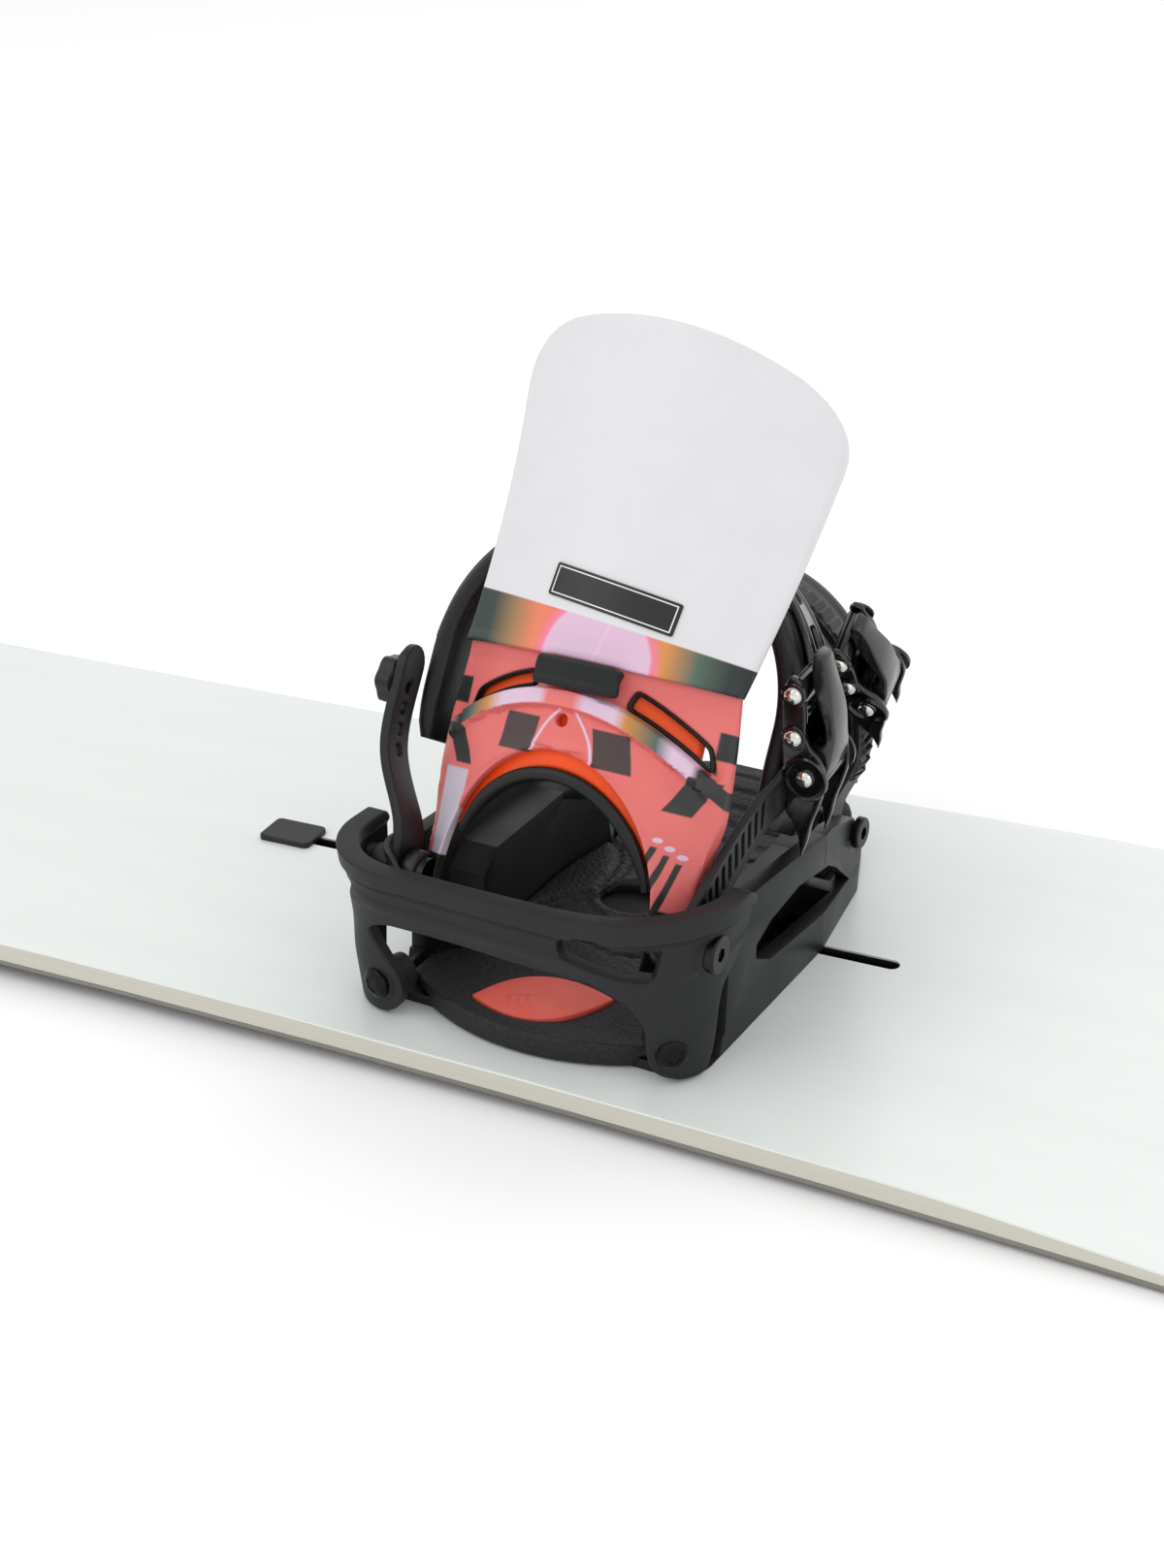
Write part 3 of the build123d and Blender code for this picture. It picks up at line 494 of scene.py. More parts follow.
def sweep(bm, path, across, section, closed=False):
    """Skins a ring of (side, out) points along a path; section(i, t) gives the ring there."""
    rings = []
    count = len(path)
    for i, point in enumerate(path):
        if closed:
            along = path[(i + 1) % count] - path[i - 1]
        else:
            along = path[min(i + 1, count - 1)] - path[max(i - 1, 0)]
        along.normalize()
        side = across(i) if callable(across) else Vector(across)
        side = (side - along * side.dot(along)).normalized()
        out = along.cross(side)
        ring = section(i, i / max(1, count - 1))
        rings.append([bm.verts.new(point + side * a + out * b) for a, b in ring])
    for i in range(count if closed else count - 1):
        skin(bm, rings[i], rings[(i + 1) % count])
    if not closed:
        bm.faces.new(list(reversed(rings[0])))
        bm.faces.new(rings[-1])
    return rings


def super_ring(half_width, low, high, count=20, power=2.6):
    """Superellipse ring for padded sections."""
    out = []
    mid, half = (low + high) / 2, (high - low) / 2
    for k in range(count):
        a = 2 * pi * k / count
        c, s = cos(a), sin(a)
        out.append((half_width * copysign(abs(c) ** (2 / power), c),
                    mid + half * copysign(abs(s) ** (2 / power), s)))
    return out


def lathe(bm, centre, axis, profile, segments=28, scallop=0.0, lobes=6):
    """Turned piece about an axis; profile is (radius, height) points from bottom to top."""
    axis = Vector(axis).normalized()
    side = axis.orthogonal().normalized()
    up = axis.cross(side)
    rings = []
    for radius, height in profile:
        ring = []
        for k in range(segments):
            a = 2 * pi * k / segments
            r = radius * (1 + scallop * cos(lobes * a))
            ring.append(bm.verts.new(Vector(centre) + axis * height + (side * cos(a) + up * sin(a)) * r))
        rings.append(ring)
    for one, two in zip(rings, rings[1:]):
        skin(bm, one, two)
    bm.faces.new(list(reversed(rings[0])))
    bm.faces.new(rings[-1])


def smoothstep(value, low, high):
    t = min(1.0, max(0.0, (value - low) / (high - low)))
    return t * t * (3 - 2 * t)


# =============================================================== highback
LEAN = radians(30)
BACK, R_LOW, R_HIGH, CONE_TOP = 18.5, 75.0, 115.0, 222.0
UP = Vector((0, sin(LEAN), cos(LEAN)))
FORE = Vector((0, cos(LEAN), -sin(LEAN)))
LEDGE_V = 89.0


def highback_point(u, v, depth):
    """Point on the conical highback: u across, v up, depth in front of its back surface."""
    radius = R_LOW + (R_HIGH - R_LOW) * v / CONE_TOP
    inner = radius - depth
    dip = sqrt(max(0.0, inner * inner - u * u))
    return PIVOT + Vector((u, 0, 0)) + FORE * (radius - BACK - dip) + UP * v


def highback_axes(g):
    folded = g.folded()
    return g.along(folded, PIVOT, (1, 0, 0)), g.along(folded, PIVOT, UP)


def shell_material():
    """Frosted shell with the faded sunset band along its lower edge."""
    g = Graph("shell")
    u, v = highback_axes(g)
    soft = g.noise(60.0, 2.0)
    across = g.range(u, -56, 58, 0.0, 1.0)
    band = g.ramp(across, [(0.0, rgb(20, 26, 26)), (0.12, rgb(34, 52, 52)), (0.22, rgb(150, 118, 78)),
                           (0.32, rgb(228, 126, 92)), (0.45, CORAL), (0.66, CORAL), (0.76, rgb(214, 140, 74)),
                           (0.86, rgb(74, 100, 86)), (0.95, rgb(24, 34, 34)), (1.0, rgb(14, 22, 22))])
    du = g.sub(u, 6.5)
    dv = g.sub(v, LEDGE_V + 1)
    reach = g.math("SQRT", g.add(g.mul(du, du), g.mul(dv, dv)))
    band = g.mix(g.step(reach, 25.5, 20.5), band, rgb(238, 122, 158))
    band = g.mix(g.step(reach, 21.6, 20.0), band, rgb(218, 184, 208))
    seam = g.size(g.sub(du, g.mul(dv, 0.25)))
    in_band = g.between(reach, -1, 21, 1.0)
    band = g.mix(g.mul(g.step(seam, 0.9, 0.3), g.mul(in_band, 0.5)), band, rgb(236, 196, 214))
    top = g.add(g.mul(u, -0.085), 104.5)
    mask = g.step(g.sub(v, top), 0.35, -0.35)
    plain = g.mix(soft, rgb(214, 214, 217), rgb(221, 221, 223))
    g.colour(g.mix(mask, plain, band))
    g.roughness(g.range(g.noise(90.0, 3.0), 0.3, 0.7, 0.36, 0.46))
    g.bump(g.noise(1400.0, 2.0), 0.05, 0.0003)
    g.constant("Subsurface Weight", 0.12)
    g.constant("Subsurface Radius", (0.004, 0.004, 0.004))
    return g.mat


def frame_material():
    """Printed coral frame: sunset rib, dark angular patches, pale outlines and streaks."""
    g = Graph("frame_print")
    u, v = highback_axes(g)
    uu = g.mul(u, u)
    rib = g.sub(v, g.sub(73.5, g.mul(uu, 0.0068)))
    warm = g.mix(g.noise(30.0, 3.0), rgb(228, 116, 110), rgb(214, 98, 98))
    across = g.range(u, -56, 58, 0.0, 1.0)
    rib_print = g.ramp(across, [(0.0, rgb(232, 150, 160)), (0.08, INK), (0.13, TEAL), (0.2, OCHRE),
                                (0.26, LILAC), (0.40, LILAC), (0.43, CORAL), (0.52, CORAL), (0.56, LILAC),
                                (0.66, LILAC), (0.7, OCHRE), (0.8, TEAL), (0.85, LILAC), (0.91, LILAC),
                                (0.93, INK), (1.0, INK)])
    on_rib = g.between(rib, -1.5, 5.0, 0.4)
    colour = g.mix(on_rib, warm, rib_print)
    side = g.size(g.sub(u, 1.0))
    below = g.step(rib, -2.4, -3.0)
    slant = g.add(side, g.mul(v, 0.18))
    patch = g.mul(g.between(slant, 22.5, 36.5, 0.3), g.between(v, 53.0, 66.5, 0.4))
    colour = g.mix(g.mul(patch, below), colour, rgb(66, 52, 50))
    curve = g.sub(side, g.sub(12.0, g.math("POWER", g.mul(g.sub(v, 52.0), 0.16), 2.0)))
    outline = g.mul(g.between(curve, -0.6, 0.6, 0.25), below)
    colour = g.mix(outline, colour, LILAC)
    far = g.add(side, g.mul(v, -0.55))
    corner = g.mul(g.between(far, 14.5, 24.0, 0.3), g.between(v, 44.0, 58.0, 0.4))
    colour = g.mix(corner, colour, rgb(40, 42, 40))
    ledge_patch = g.mul(g.step(side, 50.0, 51.0), g.between(v, 66.0, 76.0, 0.5))
    colour = g.mix(ledge_patch, colour, rgb(26, 34, 34))
    for k in range(3):
        tilt = g.sub(g.add(u, g.mul(v, -0.22)), 33.5 + 4.6 * k)
        streak = g.mul(g.between(tilt, -1.0, 1.0, 0.25), g.between(v, 14.0 - 3 * k, 31.0 - 2 * k, 0.5))
        colour = g.mix(streak, colour, rgb(30, 28, 28))
        blob_v = g.sub(v, 33.5 - 2 * k)
        blob = g.add(g.mul(g.mul(tilt, tilt), 0.35), g.mul(blob_v, blob_v))
        colour = g.mix(g.step(blob, 1.2, 0.7), colour, LILAC)
    left_arm = g.mul(g.step(u, -38.0, -38.8), g.between(v, 9.0, 42.0, 0.6))
    depth_in = g.step(g.add(u, g.mul(v, 0.05)), -51.0, -50.2)
    colour = g.mix(g.mul(left_arm, depth_in), colour, rgb(200, 190, 204))
    colour = g.mix(g.step(v, 9.6, 8.8), colour, rgb(24, 25, 27))
    g.colour(colour)
    g.roughness(g.range(g.noise(70.0, 3.0), 0.3, 0.7, 0.34, 0.46))
    g.bump(g.noise(1300.0, 2.0), 0.06, 0.0003)
    return g.mat


LABEL_AT = (8.0, 113.0)
LABEL_TURN = radians(-7)


def label_material():
    """Blank black plate with a thin pale border."""
    g = Graph("label")
    u, v = highback_axes(g)
    c, s = cos(LABEL_TURN), sin(LABEL_TURN)
    a = g.add(g.mul(g.sub(u, LABEL_AT[0]), c), g.mul(g.sub(v, LABEL_AT[1]), s))
    b = g.sub(g.mul(g.sub(v, LABEL_AT[1]), c), g.mul(g.sub(u, LABEL_AT[0]), s))
    edge_a = g.sub(23.6, g.size(a))
    edge_b = g.sub(4.8, g.size(b))
    edge = g.math("MINIMUM", edge_a, edge_b)
    line = g.between(edge, -0.2, 0.2, 0.08)
    g.colour(g.mix(line, rgb(20, 19, 20), rgb(235, 235, 235)))
    g.roughness(g.range(g.noise(200.0, 3.0), 0.3, 0.7, 0.3, 0.4))
    g.bump(g.noise(900.0, 2.0), 0.04, 0.0003)
    return g.mat


def arc_through(a, b, c, count=24):
    """Points of the circle arc from a over b to c."""
    ax, ay, bx, by, cx, cy = *a, *b, *c
    d = 2 * (ax * (by - cy) + bx * (cy - ay) + cx * (ay - by))
    ux = ((ax ** 2 + ay ** 2) * (by - cy) + (bx ** 2 + by ** 2) * (cy - ay)
          + (cx ** 2 + cy ** 2) * (ay - by)) / d
    uy = ((ax ** 2 + ay ** 2) * (cx - bx) + (bx ** 2 + by ** 2) * (ax - cx)
          + (cx ** 2 + cy ** 2) * (bx - ax)) / d
    radius = hypot(ax - ux, ay - uy)
    start, end = (atan2(y - uy, x - ux) for x, y in (a, c))
    turn = (end - start + pi) % (2 * pi) - pi
    return [(ux + radius * cos(start + turn * k / count), uy + radius * sin(start + turn * k / count))
            for k in range(count + 1)]


def soft_corner(before, corner, after, reach, steps=8):
    """Two runs of points joined by a rounded corner."""
    keep = [p for p in before if dist(p, corner) > reach]
    rest = [p for p in after if dist(p, corner) > reach]
    a, b, c = Vector(keep[-1]), Vector(corner), Vector(rest[0])
    bow = [tuple(a * (1 - t) ** 2 + b * 2 * t * (1 - t) + c * t ** 2)
           for t in [k / steps for k in range(1, steps)]]
    return keep + bow + rest


def shell_outline():
    """Outline of the shell with bowed sides and two round upper corners."""
    left = arc_through((-55, LEDGE_V), (-50, 146), (-56, 205))
    top = arc_through((-56, 205), (5, 214), (73, 193))
    right = arc_through((73, 193), (66, 140), (57, LEDGE_V))
    loop = soft_corner(left, (-56, 205), top, 20)
    return soft_corner(loop, (73, 193), right, 17)


def highback_shell():
    bm = outline_plate([shell_outline()], 0.0, 3.4, 1.1, 4.0, 3)

    def place(u, v, depth):
        rim = smoothstep(abs(u - 5), 56, 66) * 0.8 + smoothstep(v, 200, 212) * 0.8
        step = 0.5 * smoothstep(v, 93.5, 92.0) if depth < 1.7 else 0.0
        return highback_point(u, v, depth - (rim + step if depth < 1.7 else 0.0))

    bend(bm, place)
    binding_piece("highback_shell_soft", bm, "highback", shell_material(), "shell", ["highback_shell"],
                  smooth_angle=50)


def rib_line(u):
    return 73.5 - 0.0068 * u * u


def frame_relief(u, v):
    """How far the frame's back surface stands out beyond its base surface, in mm."""
    dv = v - rib_line(u)
    ridge = smoothstep(dv, -3.2, -1.8) - smoothstep(dv, 3.8, 5.2)
    panel = 1.5 * (smoothstep(dv, -14.0, -4.0) - smoothstep(dv, -3.6, -1.8))
    fade = 1 - smoothstep(abs(u), 52, 57)
    recess = -1.3 * (smoothstep(dv, 4.5, 6.0) - smoothstep(v, 84.0, 87.0))
    half = 44.0 * sqrt(max(0.0, 1 - (v / 56.0) ** 2)) if 0 < v < 56 else (44.0 if v <= 0 else 0.0)
    inner = abs(u) - half
    round_arch = hypot(u / 44, v / 56) * 50 - 50
    rim = 1.2 * (1 - smoothstep(inner if v < 57 else round_arch, 1.0, 3.4))
    outer = 1.0 * smoothstep(abs(u), 52.5, 56.5) * (1 - smoothstep(v, 60, 75)) * smoothstep(v, 0, 15)
    return 4.4 * ridge * fade + panel * fade + recess * fade + rim + outer


def arch_loop(half, height, low, steps=36):
    """Half ellipse on two straight legs, from the left foot over the top to the right foot."""
    loop = [(-half, low)]
    for k in range(steps + 1):
        a = pi * (1 - k / steps)
        loop.append((half * cos(a), height * sin(a)))
    loop.append((half, low))
    return loop


def slot_loop(u0, u1, low, high):
    """Vent slot that follows the rib, between two heights above it."""
    loop = []
    for k in range(15):
        u = u0 + (u1 - u0) * k / 14
        loop.append((u, rib_line(u) + low))
    for k in range(15):
        u = u1 - (u1 - u0) * k / 14
        loop.append((u, min(rib_line(u) + high, 85.5)))
    return rounded_loop(loop[::2], 3.2, 3)


def highback_frame():
    outer = [(-50, -13), (-58, 6), (-58, 60), (-54, 100), (54, 100), (58, 60), (58, 6), (50, -13)]
    outside = rounded_loop(outer, [5, 14, 18, 4, 4, 18, 14, 5], 6)
    inside = arch_loop(44, 56, -12.9)
    left_foot, right_foot = (-44, -13), (44, -13)
    loop = [left_foot] + outside + [right_foot] + list(reversed(inside[1:-1]))
    slots = [slot_loop(-46, -15, 5.2, 12.0), slot_loop(20, 53, 5.2, 13.5)]
    hole = [(-1 + 2.4 * cos(a * pi / 8), 67 + 2.4 * sin(a * pi / 8)) for a in range(16)]
    bm = outline_plate([loop] + slots + [hole], 3.5, 7.1, 0.9, 2.0, 2)

    def place(u, v, depth):
        lift = frame_relief(u, v)
        share = 1.0 if depth < 5.3 else 0.15
        p = highback_point(u, v, depth - lift * share)
        limit = 54.6 + 5.0 * smoothstep(v, 18, 62)
        p.x = copysign(min(abs(p.x), limit), p.x)
        return p

    bend(bm, place)
    for s in (-1, 1):
        lathe(bm, (s * 52.0, *PIVOT.yz), (s, 0, 0),
              [(8.2, -2.8), (9.0, -2.0), (9.0, 2.0), (8.2, 2.8), (4.2, 2.8)], 32)
    binding_piece("highback_frame_soft", bm, "highback", frame_material(), "frame", ["highback_frame"],
                  smooth_angle=48)


def highback_pad():
    """Foam pad on the boot side, with raised quilted bars."""
    outer = rounded_loop([(-46, 22), (-46, 112), (46, 112), (46, 22)], [3, 12, 12, 3], 6)
    inside = [(u, v) for u, v in arch_loop(42.6, 49.5, 21.9) if v > 22]
    loop = [inside[0]] + outer + [inside[-1]] + list(reversed(inside))[1:-1]
    bm = outline_plate([loop], 7.2, 11.0, 1.4, 3.0, 3)

    def place(u, v, depth):
        bars = 0.8 * sin(v * 0.42) * (1 - smoothstep(abs(u), 30, 42)) if depth > 9 else 0.0
        return highback_point(u, v, depth + bars)

    bend(bm, place)
    foam = moulded("pad", rgb(250, 84, 26), 0.42, 500.0, 0.2)
    binding_piece("highback_pad_soft", bm, "highback", foam, "pad", ["highback_pad"], padded=0.8,
                  smooth_angle=50)


def highback_lip():
    """Black rubber lip round the pad's arch, with a rolled edge."""
    bm = bmesh.new()
    path = [highback_point(41.4 * cos(a), 47.4 * sin(a), 7.2)
            for a in [pi * (0.1 + 0.76 * k / 64) for k in range(65)]]

    def section(i, t):
        swell = 0.55 + 0.45 * min(1.0, 6 * t, 6 * (1 - t))
        ring = super_ring(3.0 * swell, -2.6 * swell, 2.8 * swell, 18, 2.6)
        return [(a, b * (0.82 if abs(a) < 0.9 else 1.0)) for a, b in ring]

    sweep(bm, path, FORE, section)
    face_outwards(bm)
    binding_piece("highback_lip_soft", bm, "highback", moulded("lip", rgb(26, 25, 25), 0.4), "lip",
                  ["highback_pad_lip"], smooth_angle=60)


def window_seals():
    """Black rubber seals round the two vent windows."""
    bm = bmesh.new()
    for loop in (slot_loop(-45, -16, 5.9, 11.3), slot_loop(21, 52, 5.9, 12.8)):
        path = [highback_point(u, v, 5.4) for u, v in loop]
        sweep(bm, path, FORE, lambda i, t: super_ring(1.9, -0.75, 0.75, 10, 2.4), True)
    face_outwards(bm)
    binding_piece("window_seals", bm, "highback", moulded("seals", rgb(18, 18, 18), 0.45), "lip",
                  smooth_angle=60)


def highback_label():
    c, s = cos(LABEL_TURN), sin(LABEL_TURN)
    loop = []
    for x, y in rounded_loop([(-25, -6), (-25, 6), (25, 6), (25, -6)], 0.9, 3):
        loop.append((LABEL_AT[0] + x * c - y * s, LABEL_AT[1] + x * s + y * c))
    bm = outline_plate([loop], -0.7, -0.06, 0.2, 4.0, 1)
    bend(bm, highback_point)
    binding_piece("highback_label_soft", bm, "highback", label_material(), "label", ["highback_label"],
                  smooth_angle=50)


def lean_block():
    """Forward-lean block with a soft chamfer and a grip groove."""
    loop = rounded_loop([(-14, 78), (-12.4, 88.4), (19, 88.4), (20, 78)], [2.4, 2, 2, 2.6], 5)
    bm = outline_plate([loop], -5.6, 1.2, 1.3, 2.0, 3)

    def place(u, v, depth):
        tilt = 0.22 * (v - 83) if depth < -2 else 0.0
        groove = 0.7 * (smoothstep(v, 80.2, 81.0) - smoothstep(v, 82.0, 82.8)) if depth < -3 else 0.0
        clear = 2.4 * (1 - smoothstep(v, 84.5, 87.0)) if depth > -1 else 0.0
        return highback_point(u, v, depth - tilt + groove - clear)

    bend(bm, place)
    binding_piece("lean_block_soft", bm, "lean_block", moulded("lean_block", BLACK, 0.45), "nylon",
                  ["lean_block"], smooth_angle=45)


# =============================================================== heel hoop
HOOP_BACK = -117.0
HOOP_SIDES = {1: (67.0, 30.0), -1: (75.0, 25.0)}    # half width and corner radius, buckle side and far side
FLARE = radians(6.5)


def hoop_point(s, z, depth):
    """s runs round the hoop from the middle of its back, positive to the buckle side."""
    side = 1 if s >= 0 else -1
    half, radius = HOOP_SIDES[side]
    run, straight = abs(s), half - radius
    if run <= straight:
        place, out = Vector((s, HOOP_BACK, 0)), Vector((0, -1, 0))
    elif run <= straight + radius * pi / 2:
        a = (run - straight) / radius
        out = Vector((side * sin(a), -cos(a), 0))
        place = Vector((side * straight, HOOP_BACK + radius, 0)) + out * radius
    else:
        out = Vector((side, 0, 0))
        place = Vector((side * half, HOOP_BACK + radius + run - straight - radius * pi / 2, 0))
    return place + out * (tan(FLARE) * z - depth) + Vector((0, 0, z))


def hoop_relief(s, z):
    """Rolled lip, groove, the long crease across the band and the thickened feet."""
    lift = 4.0 * smoothstep(s, 25, 60)
    lip = 1.8 * smoothstep(z, 57.6 + lift, 59.2 + lift)
    groove = -0.5 * (smoothstep(z, 56.0 + lift, 56.8 + lift) - smoothstep(z, 57.2 + lift, 57.8 + lift))
    crease_z = 51.5 - 0.03 * (s + 60) + lift
    crease = 0.9 * (1 - smoothstep(abs(z - crease_z + 1.4), 0.8, 3.6))
    leg = max(smoothstep(s, 50, 66), smoothstep(-s, 52, 66))
    foot = 1.6 * leg * (1 - smoothstep(z, 18, 38))
    ridge = 1.0 * (1 - smoothstep(abs(z - 41.0 - 0.1 * abs(s)), 0.6, 2.4)) * leg
    return lip + groove + crease * (1 - 0.7 * leg) + foot + ridge * 0.6


def heel_hoop():
    """Band round the heel with a rolled rim, a window and two feet that the screws hold."""
    outer = [(-103, 58), (-102, 64.6), (-70, 65.6), (-20, 65.2), (26, 66.4), (52, 70.6), (72, 71.4),
             (93, 69.0), (98, 63), (95, 50), (90, 42), (82, 37), (79, 26), (78.5, 9), (76, 0.8),
             (66, 0.8), (55, 5.0), (52.4, 14), (52.6, 24), (47.5, 34.5), (36, 41.6), (10, 40.9),
             (-25, 42.3), (-52, 42.0), (-60, 37), (-52, 26), (-46.5, 17), (-47.5, 7), (-55, 0.8),
             (-70, 0.8), (-84, 0.8), (-90, 8), (-94, 24), (-99, 40)]
    radii = [3, 3, 20, 20, 20, 12, 12, 6, 5, 6, 6, 5, 6, 5, 3, 5, 6, 6, 8, 10, 12, 20, 20, 10, 4, 10, 7,
             5, 5, 5, 5, 10, 8, 6]
    window = rounded_loop([(21.5, 50), (21.5, 56.5), (27, 57), (29, 60.2), (39, 61.4), (42, 57.8),
                           (57, 59.5), (54.5, 45), (44, 45.5)],
                          [3, 2, 1.5, 3, 3, 1.5, 2.5, 4, 6], 4)
    slit = rounded_loop([(-79, 44), (-79, 52), (-66, 53), (-65.5, 45.5)], 1.6, 3)
    bm = outline_plate([rounded_loop(outer, radii, 6), window, slit], 0.0, 5.0, 1.0, 2.4, 3)

    def place(s, z, depth):
        if depth < 2.5:
            return hoop_point(s, z, depth - hoop_relief(s, z))
        return hoop_point(s, z, depth + 1.8 * smoothstep(z, 58.0, 61.5))

    bend(bm, place)
    for s, z in FOOT_SCREWS:
        centre = hoop_point(s, z, -1.0)
        out = (hoop_point(s, z, -2.0) - hoop_point(s, z, 0.0)).normalized()
        lathe(bm, centre, out, [(7.6, -6.5), (7.4, -1.4), (7.0, -0.9), (6.4, -0.9), (6.2, -1.1)], 40)
        lathe(bm, centre - out * 5.0, out, [(7.0, -9.0), (7.4, 0.0)], 32)
    for sign in (1, -1):
        lathe(bm, (sign * 63.6, *PIVOT.yz), (sign, 0, 0),
              [(9.2, -3.2), (9.2, 3.0), (8.4, 4.6), (7.8, 6.2), (7.3, 6.4)], 36)
    binding_piece("heel_hoop_body", bm, "board", HOOP_PLASTIC, "nylon", ["heel_hoop"], smooth_angle=42)


FOOT_SCREWS = [(61.5, 14.0), (-57.5, 14.0)]
HOOP_PLASTIC = moulded("hoop", rgb(25, 26, 28), 0.5)


def star_socket(bm, centre, out, radius):
    """Six-lobed recess rim of a torx screw."""
    side = out.orthogonal().normalized()
    up = out.cross(side)
    rings = []
    for height, grow in ((0.02, 1.18), (0.25, 1.08), (-1.4, 0.9)):
        ring = []
        for k in range(48):
            a = 2 * pi * k / 48
            r = radius * grow * (1 + 0.16 * cos(6 * a))
            ring.append(bm.verts.new(centre + out * height + (side * cos(a) + up * sin(a)) * r))
        rings.append(ring)
    for one, two in zip(rings, rings[1:]):
        skin(bm, one, two)
    bm.faces.new(rings[-1])


def foot_screws():
    """Low-head star screws through the hoop's feet."""
    bm = bmesh.new()
    for s, z in FOOT_SCREWS:
        centre = hoop_point(s, z, -1.0)
        out = (hoop_point(s, z, -2.0) - hoop_point(s, z, 0.0)).normalized()
        lathe(bm, centre, out, [(5.6, -1.5), (6.0, 0.2), (5.6, 1.2), (4.4, 1.9), (3.4, 2.0)], 36)
        star_socket(bm, centre + out * 2.0, out, 2.7)
    face_outwards(bm)
    for obj in binding_piece("foot_screws", bm, "board", metal("foot_screw", rgb(40, 40, 42), 0.3),
                             "screw", smooth_angle=40):
        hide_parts("hoop_screws")


def hoop_liner():
    """Low inner wall inside the hoop on the far side, which leaves a slot for the strap."""
    outer = [(-103, 36), (-103, 58), (-92, 62.5), (-64, 62.5), (-46, 60.5), (-30, 52), (-30, 46),
             (-60, 43), (-84, 35)]
    bm = outline_plate([rounded_loop(outer, [3, 8, 12, 14, 14, 6, 4, 10, 8], 6)], 0.0, 2.6, 0.9, 2.4, 3)

    def place(s, z, depth):
        gap = 10.5 * smoothstep(-s, 34, 64)
        return hoop_point(s, z, 4.6 + gap + depth)

    bend(bm, place)
    binding_piece("hoop_liner", bm, "board", moulded("liner", rgb(34, 35, 37), 0.5), "nylon", smooth_angle=45)


# =============================================================== footbed
def footbed_relief(x, y):
    """Height of the footbed's top above its flat surface."""
    ramp = 8.0 * smoothstep(y, 48, 98)
    heel = 1.2 * smoothstep(-y, 100, 114)
    groove = 0.0
    for path in FOOTBED_GROOVES:
        near = min((Vector((x, y)) - p).length for p in path)
        groove = max(groove, 1 - smoothstep(near, 0.7, 1.7))
    rim = 0.0
    for cx, cy, r in ((-9.0, -8.0, 13.0), (-6.0, -33.0, 5.0)):
        off = hypot(x - cx, y - cy) - r
        rim = max(rim, smoothstep(off, 0.2, 1.2) * (1 - smoothstep(off, 2.6, 4.0)))
    pads = 0.0
    if y > 52:
        pads = 0.9 * (1 - smoothstep(abs(((y - 52) % 11) - 5.5), 3.6, 4.8))
    return ramp + heel - 1.3 * groove + 0.7 * rim + pads


FOOTBED_GROOVES = [
    smooth_path([(-46, -44), (-38, -24), (-26, -8), (-26, 6), (-30, 22), (-42, 34)], 10),
    smooth_path([(-42, -44), (-34, -27), (-22, -12), (-22, 8), (-26, 26), (-36, 38)], 10),
    smooth_path([(46, -50), (22, -46), (4, -50), (-14, -46), (-26, -58)], 10),
    smooth_path([(44, -6), (28, 4), (14, 18), (8, 34), (22, 44)], 10),
]


def footbed_outline():
    loop = []
    for k in range(33):
        a = radians(-41.8 + 83.6 * k / 32)
        loop.append((84 * sin(a), -33 - 84 * cos(a)))
    half = [(56, -94), (56, -80), (45.3, -70), (45.3, 4), (39.3, 40), (48, 47), (48, 84), (34, 103)]
    radii = [0, 6, 6, 10, 5, 5, 14, 14]
    return loop + rounded_loop(half + [(0, 110)] + [(-x, y) for x, y in half[::-1]],
                               radii + [20] + radii[::-1], 5)


def circle_loop(cx, cy, rx, ry, count=28):
    return [(cx + rx * cos(2 * pi * k / count), cy + ry * sin(2 * pi * k / count)) for k in range(count)]


def lens_loop(grow):
    """Leaf shape through the corners of the heel inlay."""
    def arc(a, b, c, count=12):
        out = []
        for k in range(count):
            t = k / count
            out.append(((1 - t) * (1 - 2 * t) * a[0] + 4 * t * (1 - t) * b[0] + t * (2 * t - 1) * c[0],
                        (1 - t) * (1 - 2 * t) * a[1] + 4 * t * (1 - t) * b[1] + t * (2 * t - 1) * c[1]))
        return out
    left, right = (-26 - grow, -103 - grow * 0.5), (22 + grow, -81 + grow * 0.5)
    lower, upper = (4, -106.5 - grow), (-9, -79 + grow)
    return arc(left, lower, right) + arc(right, upper, left)


def footbed():
    loops = [footbed_outline(), circle_loop(-9, -8, 13, 11), circle_loop(-6, -33, 5, 5), lens_loop(0.15)]
    bm = outline_plate(loops, 0.0, 9.0, 1.4, 1.9, 3)

    def place(x, y, z):
        if z > 4.5:
            return Vector((x, y, z + footbed_relief(x, y)))
        return Vector((x, y, z + 0.6 + 3.55 * smoothstep(y, -105.4, -104.0)))

    bend(bm, place)
    binding_piece("footbed_foam", bm, "board", leather_grain("footbed_foam", rgb(33, 33, 34), 0.55),
                  "footbed", ["footbed"], smooth_angle=40)
    floor_loop = [(x * 0.93, y * 0.93) for x, y in circle_loop(-9, -20, 20, 30)]
    pan = outline_plate([floor_loop], 4.15, 5.2, 0.3, 2.5, 1)
    bend(pan, lambda x, y, z: Vector((x, y, z + (0.25 * sin(x * 1.1) * sin(y * 1.1) if z > 4.7 else 0.0))))
    binding_piece("footbed_floor", pan, "board", moulded("bed_floor", rgb(20, 20, 20), 0.6), "footbed",
                  smooth_angle=40)


